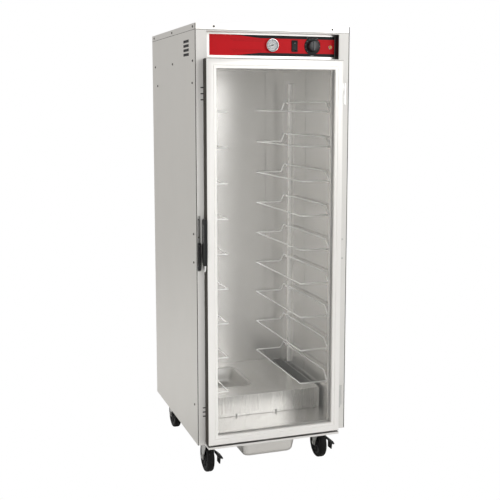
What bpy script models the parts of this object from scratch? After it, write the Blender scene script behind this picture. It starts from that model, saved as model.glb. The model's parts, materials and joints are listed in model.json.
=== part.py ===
"""Heated food holding cabinet on casters, one object for each sub-part.

The "cabinet" empty sits at the middle of the body's lower front edge. Every number below is measured
from there: x to the right, y to the back, z up, in metres. The empty itself is placed so that the whole
cabinet stands on z = 0, centred in x and y.
"""

import math

import bmesh
import bpy
from mathutils import Matrix, Vector

# Body
WIDTH = 0.640
DEPTH = 0.731
HEIGHT = 1.662
CASTER_HEIGHT = 0.157
SHEET = 0.0015
GAP = 0.0003
CAP_BAND = 0.024
FRAME_DEPTH = 0.018

# Door
DOOR_LEFT = -0.290
DOOR_RIGHT = 0.273
DOOR_BOTTOM = 0.012
DOOR_TOP = 1.528
DOOR_PROUD = 0.050
GASKET_DEPTH = 0.0135
RAIL = 0.0365
STILE = 0.040
HINGE_STILE = 0.034
GLASS = 0.006
GLASS_BACK = -0.027
GROOVE = 0.008
HANDLE_PROUD = 0.008
HINGE_AXIS = Vector((0.281, -0.030, 0.0))
KNUCKLE_RADIUS = 0.0062
HINGE_BASES = {"upper_hinge": 1.356, "lower_hinge": 0.104}
HINGE_LENGTH = 0.084
HANDLE_BOTTOM = 0.711
HANDLE_TOP = 0.918
HANDLE_AXIS = Vector((-0.2945, -0.0165, 0.0))

# Cavity
LINER_HALF = 0.300
LINER_FLOOR = 0.0315
LINER_TOP = 1.510
LINER_BACK = 0.6885
MOUTH_LEFT = -0.266
MOUTH_RIGHT = 0.249
MOUTH_TOP = 1.508

# Pan slides and their uprights
LEVELS = 9
TOP_LEVEL = 1.328
LEVEL_PITCH = 0.1437
WIRE_RADIUS = 0.0032
SLIDE_INNER = 0.160
SLIDE_OUTER = 0.284
SLIDE_FRONT = 0.100
SLIDE_BACK = 0.670
SLIDE_RISE = 0.038
RISER_LEAN = 0.038
UPRIGHT_FACE = 0.288
UPRIGHT_WIDTH = 0.015
UPRIGHT_BOTTOM = 0.133
UPRIGHT_TOP = 1.450
UPRIGHT_FRONTS = {"front": 0.0935, "rear": 0.575}

# Controls, on the back of a recess in the header
RECESS_LEFT = -0.2745
RECESS_RIGHT = 0.2760
RECESS_BOTTOM = 1.5328
RECESS_TOP = 1.6332
RECESS_WALL = 0.0012
OVERLAY_FRONT = 0.0380
OVERLAY_BACK = 0.0390
PANEL_FRONT = 0.0393
GAUGE = Vector((0.003, OVERLAY_FRONT, 1.5865))
SWITCH = Vector((0.099, OVERLAY_FRONT, 1.5855))
KNOB = Vector((0.175, OVERLAY_FRONT, 1.5865))
LAMP = Vector((0.253, OVERLAY_FRONT, 1.5840))

# Heater module and water pan
MODULE_HALF = 0.289
MODULE_FRONT = 0.195
MODULE_BACK = 0.686
MODULE_TOP = 0.121
FAN_CENTRE = (0.150, 0.470)
INTAKE_XS = (0.236, 0.248, 0.260, 0.272)
INTAKE_YS = (0.270, 0.665)
INTAKE_SLOT = 0.005
OUTLET_ZS = (0.060, 0.072)
WATER_PAN_DEPTH = 0.065
PAN_RIM = 0.0115
WATER_PAN_CENTRE = (-0.064, 0.466)
WATER_PAN_LENGTH = 0.290
WATER_PAN_WIDTH = 0.176

# Drip pan, trough and casters
DRIP_PAN_CENTRE = (-0.008, 0.087)
DRIP_PAN_LENGTH = 0.265
DRIP_PAN_WIDTH = 0.162
DRIP_PAN_DEPTH = 0.075
DRIP_RIM_TOP = -0.0122
CASTER_X = 0.250
CASTER_YS = {"front": 0.075, "rear": 0.628}
WHEEL_RADIUS = 0.0635
WHEEL_HALF_WIDTH = 0.016
TRAIL = 0.035
AXLE_RADIUS = 0.006
AXLE_Z = WHEEL_RADIUS - CASTER_HEIGHT

OVERALL_DEPTH = DEPTH + DOOR_PROUD + HANDLE_PROUD
CABINET_PLACE = Vector((0.0, DOOR_PROUD + HANDLE_PROUD - OVERALL_DEPTH / 2, CASTER_HEIGHT))

FINISHES = {
    "brushed_steel": ((0.74, 0.73, 0.71), 0.35, 1.0),
    "liner_steel": ((0.60, 0.59, 0.57), 0.38, 1.0),
    "bright_wire": ((0.80, 0.80, 0.79), 0.22, 1.0),
    "painted_black": ((0.03, 0.03, 0.03), 0.45, 0.0),
    "black_plastic": ((0.025, 0.025, 0.027), 0.42, 0.0),
    "overlay_red": ((0.62, 0.02, 0.03), 0.35, 0.0),
    "gauge_white": ((0.90, 0.90, 0.88), 0.35, 0.0),
    "amber_lens": ((0.90, 0.38, 0.05), 0.15, 0.0),
    "clear_glass": ((0.93, 0.95, 0.95), 0.05, 0.0),
    "gasket_rubber": ((0.06, 0.055, 0.05), 0.65, 0.0),
    "wheel_rubber": ((0.02, 0.02, 0.02), 0.60, 0.0),
    "zinc_plate": ((0.62, 0.62, 0.61), 0.30, 1.0),
}


def clear_scene():
    for obj in list(bpy.data.objects):
        bpy.data.objects.remove(obj, do_unlink=True)


def make_materials():
    for name, (colour, roughness, metallic) in FINISHES.items():
        material = bpy.data.materials.new(name)
        material.use_nodes = True
        shader = material.node_tree.nodes["Principled BSDF"]
        shader.inputs["Base Color"].default_value = (*colour, 1.0)
        shader.inputs["Roughness"].default_value = roughness
        shader.inputs["Metallic"].default_value = metallic
    glass = bpy.data.materials["clear_glass"].node_tree.nodes["Principled BSDF"]
    glass.inputs["Transmission Weight"].default_value = 1.0


def add_empty(name, place, parent=None):
    obj = bpy.data.objects.new(name, None)
    bpy.context.collection.objects.link(obj)
    obj.parent = parent
    obj.location = place
    return obj


def solid(mesh_builder):
    """Turn a bmesh into an object with its faces pointing out."""
    bmesh.ops.recalc_face_normals(mesh_builder, faces=mesh_builder.faces)
    mesh = bpy.data.meshes.new("solid")
    mesh_builder.to_mesh(mesh)
    mesh_builder.free()
    obj = bpy.data.objects.new("solid", mesh)
    bpy.context.collection.objects.link(obj)
    return obj


def block(low, high):
    builder = bmesh.new()
    size = Vector(high) - Vector(low)
    middle = (Vector(high) + Vector(low)) / 2
    shape = Matrix.Translation(middle) @ Matrix.Diagonal((*size, 1.0))
    bmesh.ops.create_cube(builder, size=1.0, matrix=shape)
    return solid(builder)


AXIS_ORDER = {"X": (1, 2, 0), "Y": (0, 2, 1), "Z": (0, 1, 2)}


def prism(outline, axis, start, end):
    """Extrude a flat outline along an axis. The outline is in the other two axes, in X, Y, Z order."""
    first, second, along = AXIS_ORDER[axis]
    builder = bmesh.new()
    verts = []
    for a, b in outline:
        place = [0.0, 0.0, 0.0]
        place[first], place[second], place[along] = a, b, start
        verts.append(builder.verts.new(place))
    face = builder.faces.new(verts)
    extruded = bmesh.ops.extrude_face_region(builder, geom=[face])
    moved = [item for item in extruded["geom"] if isinstance(item, bmesh.types.BMVert)]
    offset = [0.0, 0.0, 0.0]
    offset[along] = end - start
    bmesh.ops.translate(builder, verts=moved, vec=offset)
    return solid(builder)


def turned(profile, centre, axis, steps=24):
    """Spin a profile of (radius, distance along the axis) points once round an axis through the centre."""
    directions = {"X": Vector((1, 0, 0)), "Y": Vector((0, 1, 0)), "Z": Vector((0, 0, 1))}
    along = directions[axis]
    outward = directions["Z"] if axis != "Z" else directions["X"]
    builder = bmesh.new()
    verts = [builder.verts.new(along * distance + outward * radius) for radius, distance in profile]
    edges = [builder.edges.new(pair) for pair in zip(verts, verts[1:])]
    closed = profile[0][0] > 0
    if closed:
        edges.append(builder.edges.new((verts[-1], verts[0])))
    bmesh.ops.spin(builder, geom=verts + edges, cent=(0, 0, 0), axis=along, steps=steps, angle=math.tau)
    bmesh.ops.remove_doubles(builder, verts=builder.verts, dist=1e-6)
    bmesh.ops.translate(builder, verts=builder.verts, vec=centre)
    return solid(builder)


def rod(centre, axis, radius, start, end, steps=16):
    return turned([(0, start), (radius, start), (radius, end), (0, end)], centre, axis, steps)


def rounded_ring(centre, half_x, half_y, radius, z, corner_steps=3):
    """Points of a level rectangle with round corners."""
    points = []
    for corner, (side_x, side_y) in enumerate(((1, 1), (-1, 1), (-1, -1), (1, -1))):
        for step in range(corner_steps + 1):
            angle = math.radians(90 * (corner + step / corner_steps))
            points.append((centre[0] + side_x * (half_x - radius) + radius * math.cos(angle),
                           centre[1] + side_y * (half_y - radius) + radius * math.sin(angle), z))
    return points


def lofted(rings):
    """Skin a list of rings that have equally many points, and cap the first and the last."""
    builder = bmesh.new()
    loops = [[builder.verts.new(point) for point in ring] for ring in rings]
    count = len(loops[0])
    for lower, upper in zip(loops, loops[1:]):
        for i in range(count):
            following = (i + 1) % count
            builder.faces.new((lower[i], lower[following], upper[following], upper[i]))
    builder.faces.new(loops[0])
    builder.faces.new(loops[-1])
    return solid(builder)


def tube(points, radius, closed, sides_setting=1):
    """Round bar along a path, converted to a mesh."""
    curve = bpy.data.curves.new("path", "CURVE")
    curve.dimensions = "3D"
    curve.bevel_depth = radius
    curve.bevel_resolution = sides_setting
    curve.use_fill_caps = not closed
    spline = curve.splines.new("POLY")
    spline.points.add(len(points) - 1)
    for point, place in zip(spline.points, points):
        point.co = (*place, 1.0)
    spline.use_cyclic_u = closed
    guide = bpy.data.objects.new("path", curve)
    bpy.context.collection.objects.link(guide)
    mesh = bpy.data.meshes.new_from_object(guide.evaluated_get(bpy.context.evaluated_depsgraph_get()))
    bpy.data.objects.remove(guide)
    builder = bmesh.new()
    builder.from_mesh(mesh)
    bmesh.ops.remove_doubles(builder, verts=builder.verts, dist=1e-6)
    return solid(builder)


def rounded_path(corners, radius, closed, steps=2):
    """Replace each corner of a path by a short arc-like bend."""
    points = []
    count = len(corners)
    for i, corner in enumerate(corners):
        corner = Vector(corner)
        if not closed and i in (0, count - 1):
            points.append(corner)
            continue
        before = (Vector(corners[i - 1]) - corner).normalized() * radius
        after = (Vector(corners[(i + 1) % count]) - corner).normalized() * radius
        for step in range(steps + 1):
            t = step / steps
            points.append(corner + before * (1 - t) ** 2 + after * t ** 2)
    return points


def combine(target, tools, operation):
    """Apply a Boolean for each tool, and remove the tools."""
    for tool in tools:
        modifier = target.modifiers.new("combine", "BOOLEAN")
        modifier.operation = operation
        modifier.solver = "EXACT"
        modifier.object = tool
        evaluated = target.evaluated_get(bpy.context.evaluated_depsgraph_get())
        mesh = bpy.data.meshes.new_from_object(evaluated)
        target.modifiers.clear()
        target.data = mesh
        bpy.data.objects.remove(tool, do_unlink=True)
    return target


def cut(target, *tools):
    return combine(target, tools, "DIFFERENCE")


def join(target, *tools):
    return combine(target, tools, "UNION")


def bevel(obj, width, segments=1):
    modifier = obj.modifiers.new("edges", "BEVEL")
    modifier.width = width
    modifier.segments = segments
    modifier.limit_method = "ANGLE"
    return obj


def place(obj, name, finish, parent, smooth=False):
    """Name a finished solid, give it its material, and hang it on its parent without moving it."""
    obj.name = name
    obj.data.name = name
    obj.data.materials.clear()
    obj.data.materials.append(bpy.data.materials[finish])
    if parent.parent:
        obj.data.transform(Matrix.Translation(-parent.location))
    obj.parent = parent
    if smooth:
        obj.data.shade_smooth()
        obj.data.set_sharp_from_angle(angle=math.radians(40))
    return obj


def make_side_panels(cabinet):
    """Outer sheet with top and bottom flanges, and four vent slots near the top of each side."""
    top = HEIGHT - CAP_BAND - GAP
    flange = 0.0165
    slot_low, slot_high = 0.093, 0.168
    slot_height = 0.0065
    for side, name in ((-1, "left_side_panel"), (1, "right_side_panel")):
        outer = side * WIDTH / 2
        inner = outer - side * SHEET
        lip = outer - side * flange
        outline = [(outer, 0), (outer, top), (lip, top), (lip, top - SHEET), (inner, top - SHEET),
                   (inner, SHEET), (lip, SHEET), (lip, 0)]
        panel = prism(outline, "Y", 0.0, DEPTH)
        corners = [prism([(inner, -0.01), (inner, top + 0.01), (lip - side * 0.01, top + 0.01),
                          (lip - side * 0.01, -0.01)], "Y", start, end)
                   for start, end in ((-0.01, FRAME_DEPTH + GAP), (DEPTH - 0.0036, DEPTH + 0.01))]
        slots = []
        for row in range(4):
            middle = 1.600 - 0.017 * row
            slots.append(block((outer - 0.01, slot_low, middle - slot_height / 2),
                               (outer + 0.01, slot_high, middle + slot_height / 2)))
        place(cut(panel, *corners, *slots), name, "brushed_steel", cabinet)


def make_back_panel(cabinet):
    """Back sheet, with the flush housing of a power inlet near the top."""
    edge = WIDTH / 2 - SHEET - GAP
    low, high = (0.180, 1.560), (0.232, 1.590)
    wall = 0.002
    socket_depth = 0.020
    panel = block((-edge, DEPTH - 0.0033, GAP), (edge, DEPTH - 0.0018, HEIGHT - CAP_BAND - GAP))
    body = block((low[0], DEPTH - 0.027, low[1]), (high[0], DEPTH, high[1]))
    socket = block((low[0] + wall, DEPTH - socket_depth, low[1] + wall),
                   (high[0] - wall, DEPTH + 0.01, high[1] - wall))
    place(cut(join(panel, body), socket), "back_panel", "brushed_steel", cabinet)


def make_top_cap(cabinet):
    """Lid with a band turned down all round."""
    half = WIDTH / 2
    band_bottom = HEIGHT - CAP_BAND
    cap = block((-half, 0, band_bottom), (half, DEPTH, HEIGHT))
    inside = block((-half + SHEET, SHEET, band_bottom - 0.01), (half - SHEET, DEPTH - SHEET, HEIGHT - SHEET))
    place(cut(cap, inside), "top_cap", "brushed_steel", cabinet)


def make_front_frame(cabinet):
    """Stiles, sill and header in one welded frame, with the cavity mouth and the control opening."""
    edge = WIDTH / 2 - SHEET - GAP
    frame = block((-edge, 0, 0), (edge, FRAME_DEPTH, HEIGHT - CAP_BAND - GAP))
    mouth = block((MOUTH_LEFT, -0.01, LINER_FLOOR - SHEET), (MOUTH_RIGHT, 0.05, MOUTH_TOP))
    opening = block((RECESS_LEFT - GAP, -0.01, RECESS_BOTTOM - GAP),
                    (RECESS_RIGHT + GAP, 0.05, RECESS_TOP + GAP))
    place(cut(frame, mouth, opening), "front_frame", "brushed_steel", cabinet)


def make_base_frame(cabinet):
    """Floor tray with the drip pan's rails and the casters' top plates and upper races."""
    edge = 0.3030
    front, back = FRAME_DEPTH + GAP, DEPTH - 0.0036
    wall = 0.002
    wall_top = LINER_FLOOR - SHEET - GAP
    base = block((-edge, front, GAP), (edge, back, wall_top))
    base = cut(base, block((-edge + wall, front + wall, wall), (edge - wall, back - wall, 0.05)))
    centre, rail_back = DRIP_PAN_CENTRE[0], 0.175
    for side in (-1, 1):
        foot, web, flange = 0.1240, 0.1340, 0.1480
        thick = 0.0016
        foot_bottom, foot_top = -0.0157, -0.0140
        outline = [(foot, foot_bottom), (web + thick, foot_bottom),
                   (web + thick, -0.0010), (flange, -0.0010),
                   (flange, 0.0010), (web, 0.0010), (web, foot_top), (foot, foot_top)]
        outline = [(centre + side * x, z) for x, z in outline]
        base = join(base, prism(outline, "Y", 0.024, rail_back))
    for side in (-1, 1):
        for y in CASTER_YS.values():
            plate = block((side * CASTER_X - 0.050, y - 0.050, -0.0038),
                          (side * CASTER_X + 0.050, y + 0.050, 0.001))
            race = rod((side * CASTER_X, y, 0), "Z", 0.030, -0.0120, -0.0030, steps=24)
            base = join(base, plate, race)
    place(base, "base_frame", "zinc_plate", cabinet)


def make_liner(cabinet):
    """Five-sided cavity box."""
    half = LINER_HALF + SHEET
    front = FRAME_DEPTH + GAP
    liner = block((-half, front, LINER_FLOOR - SHEET), (half, LINER_BACK + SHEET, LINER_TOP + SHEET))
    cavity = block((-LINER_HALF, -0.05, LINER_FLOOR), (LINER_HALF, LINER_BACK, LINER_TOP))
    place(cut(liner, cavity), "interior_liner", "liner_steel", cabinet)


def front_tab(side, level):
    """Shelf with a lip in front, under the front wire of a slide."""
    under = level - WIRE_RADIUS - GAP
    thickness, lip = 0.0025, 0.0018
    low, high = 0.0945, 0.1065
    outline = [(low, under - thickness), (high, under - thickness), (high, under), (low + lip, under),
               (low + lip, under + 0.0045), (low, under + 0.0045)]
    return prism(outline, "X", side * 0.2720, side * (UPRIGHT_FACE + 0.0006))


def rear_hook(side, level, y):
    """Hook open to the top, under the raised outer wire of a slide."""
    under = level + SLIDE_RISE - WIRE_RADIUS - GAP
    thickness, lip, tip = 0.0025, 0.0018, 0.2780
    root = UPRIGHT_FACE + 0.0006
    outline = [(root, under - thickness), (tip, under - thickness), (tip, under + 0.0045),
               (tip + lip, under + 0.0045), (tip + lip, under), (root, under)]
    return prism([(side * x, z) for x, z in outline], "Y", y + 0.008, y + UPRIGHT_WIDTH - 0.002)


def make_upright(side, y):
    wall = 0.0012
    root = LINER_HALF - GAP
    far = y + UPRIGHT_WIDTH
    outline = [(root, y), (UPRIGHT_FACE, y), (UPRIGHT_FACE, far), (root, far), (root, far - wall),
               (UPRIGHT_FACE + wall, far - wall), (UPRIGHT_FACE + wall, y + wall), (root, y + wall)]
    return prism([(side * x, place_y) for x, place_y in outline], "Z", UPRIGHT_BOTTOM, UPRIGHT_TOP)


def make_racks(cabinet):
    """Channel uprights with a support for each level, and the wire slides that hang in them."""
    levels = [TOP_LEVEL - LEVEL_PITCH * i for i in range(LEVELS)]
    for side, side_name in ((-1, "left"), (1, "right")):
        rack = add_empty(side_name + "_rack_axis", (side * SLIDE_OUTER, 0.340, 0.0), cabinet)
        for row_name, y in UPRIGHT_FRONTS.items():
            upright = make_upright(side, y)
            for level in levels:
                support = front_tab(side, level) if row_name == "front" else rear_hook(side, level, y)
                upright = join(upright, support)
            place(upright, side_name + "_" + row_name + "_upright", "liner_steel", rack)
        low, high = 0.0, SLIDE_RISE
        corners = [(SLIDE_INNER, SLIDE_FRONT, low), (SLIDE_OUTER, SLIDE_FRONT, low),
                   (SLIDE_OUTER, SLIDE_FRONT + RISER_LEAN, high),
                   (SLIDE_OUTER, SLIDE_BACK - RISER_LEAN, high),
                   (SLIDE_OUTER, SLIDE_BACK, low), (SLIDE_INNER, SLIDE_BACK, low)]
        path = rounded_path([(side * x, y, z) for x, y, z in corners], 0.006, closed=True)
        pattern = tube(path, WIRE_RADIUS, closed=True)
        pattern = place(pattern, side_name + "_slide_1", "bright_wire", rack, smooth=True)
        pattern.location = (0, 0, levels[0])
        for number, level in enumerate(levels[1:], start=2):
            slide = bpy.data.objects.new(side_name + "_slide_" + str(number), pattern.data)
            bpy.context.collection.objects.link(slide)
            slide.parent = rack
            slide.location = (0, 0, level)


def make_controls(cabinet):
    """Recess housing, printed overlay, thermometer, rocker, thermostat knob and lamp."""
    housing_back = PANEL_FRONT + RECESS_WALL
    housing = block((RECESS_LEFT, 0.0005, RECESS_BOTTOM), (RECESS_RIGHT, housing_back, RECESS_TOP))
    recess = block((RECESS_LEFT + RECESS_WALL, -0.01, RECESS_BOTTOM + RECESS_WALL),
                   (RECESS_RIGHT - RECESS_WALL, PANEL_FRONT, RECESS_TOP - RECESS_WALL))
    switch_half = Vector((0.0110, 0, 0.0210))
    switch_inside = Vector((0.0092, 0, 0.0188))
    switch_body = block((SWITCH.x - switch_half.x, 0.0350, SWITCH.z - switch_half.z),
                        (SWITCH.x + switch_half.x, 0.0600, SWITCH.z + switch_half.z))
    switch_well = block((SWITCH.x - switch_inside.x, 0.0300, SWITCH.z - switch_inside.z),
                        (SWITCH.x + switch_inside.x, 0.0580, SWITCH.z + switch_inside.z))
    gauge_stem, shaft, lamp_stem = 0.0200, 0.0030, 0.0040
    clearance = 0.0008
    holes = [(GAUGE, gauge_stem), (KNOB, shaft), (LAMP, lamp_stem)]

    def bores():
        return [rod((at.x, 0, at.z), "Y", radius + clearance, 0.03, 0.05) for at, radius in holes]

    housing = cut(housing, recess, *bores())
    housing = cut(join(housing, switch_body), switch_well)
    place(housing, "control_housing", "brushed_steel", cabinet)

    overlay = block((-0.252, OVERLAY_FRONT, 1.545), (0.271, OVERLAY_BACK, 1.625))
    opening = block((SWITCH.x - switch_half.x - clearance, 0.03, SWITCH.z - switch_half.z - clearance),
                    (SWITCH.x + switch_half.x + clearance, 0.05, SWITCH.z + switch_half.z + clearance))
    overlay = cut(overlay, opening, *bores())
    place(overlay, "control_overlay", "overlay_red", cabinet)

    back_of_flange = -GAP
    case_profile = [(0, -0.0070), (0.0225, -0.0070), (0.0225, -0.0115), (0.0255, -0.0110),
                    (0.0255, back_of_flange), (gauge_stem, back_of_flange), (gauge_stem, 0.0320), (0, 0.0320)]
    place(turned(case_profile, GAUGE, "Y", 32), "thermometer_case", "gauge_white", cabinet, smooth=True)
    needle_axis = add_empty("needle_axis", (GAUGE.x, GAUGE.y - 0.0080, GAUGE.z), cabinet)
    needle_front, needle_back = GAUGE.y - 0.0086, GAUGE.y - 0.0078
    needle = prism([(0.0060, 0.0008), (0.0060, -0.0008), (-0.0175, -0.0003), (-0.0175, 0.0003)], "Y",
                   needle_front, needle_back)
    cold_reading = Matrix.Rotation(math.radians(-16), 4, "Y")
    needle.data.transform(Matrix.Translation((GAUGE.x, 0, GAUGE.z)) @ cold_reading)
    hub = rod(GAUGE, "Y", 0.0026, -0.0090, -0.0074)
    place(join(needle, hub), "thermometer_needle", "black_plastic", needle_axis)

    rocker_axis = add_empty("rocker_axis", (SWITCH.x, 0.0420, SWITCH.z), cabinet)
    rocker = prism([(0.0338, SWITCH.z - 0.0172), (0.0350, SWITCH.z), (0.0338, SWITCH.z + 0.0172),
                    (0.0480, SWITCH.z + 0.0120), (0.0480, SWITCH.z - 0.0120)], "X",
                   SWITCH.x - 0.0086, SWITCH.x + 0.0086)
    place(rocker, "rocker_switch", "black_plastic", rocker_axis)

    knob_axis = add_empty("knob_axis", KNOB, cabinet)
    knob_profile = [(0, -0.0220), (0.0195, -0.0220), (0.0215, -0.0200), (0.0225, -0.0035), (0.0340, -0.0030),
                    (0.0340, back_of_flange), (shaft, back_of_flange), (shaft, 0.0200), (0, 0.0200)]
    knob = turned(knob_profile, KNOB, "Y", 32)
    grip = block((KNOB.x - 0.0035, KNOB.y - 0.0245, KNOB.z - 0.0200),
                 (KNOB.x + 0.0035, KNOB.y - 0.0200, KNOB.z + 0.0200))
    place(join(knob, grip), "thermostat_knob", "black_plastic", knob_axis, smooth=True)

    lamp_profile = [(0, -0.0060), (0.0030, -0.0052), (0.0050, -0.0030), (0.0055, back_of_flange),
                    (lamp_stem, back_of_flange), (lamp_stem, 0.0180), (0, 0.0180)]
    place(turned(lamp_profile, LAMP, "Y", 16), "indicator_lamp", "amber_lens", cabinet, smooth=True)


def make_door(cabinet):
    """Framed glass door, its gasket, hinges, handle and strike."""
    door_axis = add_empty("door_axis", HINGE_AXIS, cabinet)
    frame_back = -GASKET_DEPTH - GAP
    window_low = (DOOR_LEFT + STILE, DOOR_BOTTOM + RAIL)
    window_high = (DOOR_RIGHT - HINGE_STILE, DOOR_TOP - RAIL)
    frame = block((DOOR_LEFT, -DOOR_PROUD, DOOR_BOTTOM), (DOOR_RIGHT, frame_back, DOOR_TOP))
    window = block((window_low[0], -0.06, window_low[1]), (window_high[0], 0.01, window_high[1]))
    groove = block((window_low[0] - GROOVE, GLASS_BACK - GLASS - GAP, window_low[1] - GROOVE),
                   (window_high[0] + GROOVE, GLASS_BACK + GAP, window_high[1] + GROOVE))
    frame = cut(frame, window, groove)
    knuckle_length = 0.040
    for base in HINGE_BASES.values():
        top = base + HINGE_LENGTH
        leaf = block((DOOR_RIGHT - 0.002, -0.046, top - knuckle_length), (DOOR_RIGHT + 0.0030, -0.016, top))
        knuckle = turned([(0.0034, top - knuckle_length), (KNUCKLE_RADIUS, top - knuckle_length),
                          (KNUCKLE_RADIUS, top), (0.0034, top)], HINGE_AXIS, "Z")
        bore = rod(HINGE_AXIS, "Z", 0.0034, top - knuckle_length - 0.001, top + 0.001, steps=24)
        frame = cut(join(frame, leaf, knuckle), bore)
    place(frame, "door_frame", "brushed_steel", door_axis)

    edge = GROOVE - 0.0006
    glass = block((window_low[0] - edge, GLASS_BACK - GLASS, window_low[1] - edge),
                  (window_high[0] + edge, GLASS_BACK, window_high[1] + edge))
    place(glass, "door_window", "clear_glass", door_axis)

    inset, seal = 0.004, 0.018
    gasket = block((DOOR_LEFT + inset, -GASKET_DEPTH, DOOR_BOTTOM + inset),
                   (DOOR_RIGHT - inset, -GAP, DOOR_TOP - inset))
    inside = inset + seal
    gasket_mouth = block((DOOR_LEFT + inside, -0.05, DOOR_BOTTOM + inside),
                         (DOOR_RIGHT - inside, 0.05, DOOR_TOP - inside))
    gasket = cut(gasket, gasket_mouth)
    place(gasket, "door_gasket", "gasket_rubber", door_axis)

    for name, base in HINGE_BASES.items():
        split = base + HINGE_LENGTH - knuckle_length - GAP
        leaf = block((0.2850, -0.0030, base), (0.3060, -GAP, base + HINGE_LENGTH))
        leg = block((0.2808, HINGE_AXIS.y, base + 0.003), (0.2864, -0.0010, split - 0.003))
        knuckle = rod(HINGE_AXIS, "Z", KNUCKLE_RADIUS, base, split, steps=24)
        pin = rod(HINGE_AXIS, "Z", 0.0030, split - 0.010, base + HINGE_LENGTH - 0.002)
        place(join(leaf, leg, knuckle, pin), name, "zinc_plate", cabinet, smooth=True)

    handle_axis = add_empty("handle_axis", HANDLE_AXIS - HINGE_AXIS, door_axis)
    handle_front = -DOOR_PROUD - HANDLE_PROUD
    handle_back = -0.0155
    inner_face = DOOR_LEFT - 0.0010
    full_reach = handle_back - handle_front
    stations = [(HANDLE_BOTTOM, 0.0060, 0.022), (HANDLE_BOTTOM + 0.015, 0.0085, 0.030),
                (0.745, 0.0110, 0.040), (0.800, 0.0125, full_reach),
                (HANDLE_TOP - 0.004, 0.0125, full_reach), (HANDLE_TOP, 0.0095, full_reach - 0.006)]
    rings = []
    for z, thickness, reach in stations:
        middle = (inner_face - thickness / 2, handle_back - reach / 2)
        rings.append(rounded_ring(middle, thickness / 2, reach / 2, min(0.0035, thickness * 0.45), z))
    handle = lofted(rings)
    obj = place(handle, "door_handle", "black_plastic", handle_axis, smooth=True)
    obj.data.transform(Matrix.Translation(-HINGE_AXIS))

    strike = block((-0.3180, -0.0033, 0.708), (-0.3050, -GAP, 0.928))
    keeper_points = [(-0.0010, 0.712), (-0.0160, 0.722), (-0.0190, 0.765), (-0.0160, 0.812), (-0.0010, 0.822)]
    keeper = prism(keeper_points, "X", -0.3160, -0.3055)
    hollow = prism([(-0.0034, 0.728), (-0.0125, 0.732), (-0.0150, 0.765), (-0.0125, 0.802), (-0.0034, 0.806)],
                   "X", -0.3300, -0.2900)
    place(cut(join(strike, keeper), hollow), "latch_strike", "zinc_plate", cabinet)


def deep_pan(centre, half_x, half_y, rim_top, depth):
    """Shallow pan with sloping walls, round corners, a chamfered foot and a flat rim."""
    wall = 0.0012
    slope = 0.010
    foot = 0.010
    body_x, body_y = half_x - PAN_RIM, half_y - PAN_RIM
    bottom = rim_top - depth

    def ring(inset, corner_radius, z):
        return rounded_ring(centre, body_x - inset, body_y - inset, corner_radius, z)

    return lofted([
        ring(slope + foot, 0.018, bottom + wall),
        ring(slope + wall, 0.022, bottom + foot + wall),
        ring(wall, 0.024, rim_top),
        ring(-PAN_RIM, 0.030, rim_top),
        ring(-PAN_RIM, 0.030, rim_top - wall),
        ring(0, 0.025, rim_top - wall),
        ring(slope, 0.023, bottom + foot),
        ring(slope + foot, 0.018, bottom),
    ])


def make_trough_and_drip_pan(cabinet):
    wall = 0.0012
    low, high = -0.0030, 0.0050
    trough = block((DOOR_LEFT, -DOOR_PROUD, low), (DOOR_RIGHT, -GAP, high))
    inside = block((DOOR_LEFT + wall, -DOOR_PROUD + wall, low + wall),
                   (DOOR_RIGHT - wall, -GAP - wall, high + 0.01))
    spout = block((-0.060, -0.010, low), (0.044, 0.024, low + wall))
    drain = block((-0.050, -0.020, low - 0.01), (0.034, -0.008, low + 0.003))
    place(cut(join(cut(trough, inside), spout), drain), "drip_trough", "brushed_steel", cabinet)
    pan_axis = add_empty("drip_pan_axis", (*DRIP_PAN_CENTRE, DRIP_RIM_TOP), cabinet)
    pan = deep_pan(DRIP_PAN_CENTRE, DRIP_PAN_LENGTH / 2, DRIP_PAN_WIDTH / 2, DRIP_RIM_TOP, DRIP_PAN_DEPTH)
    place(pan, "drip_pan", "brushed_steel", pan_axis, smooth=True)


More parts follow.
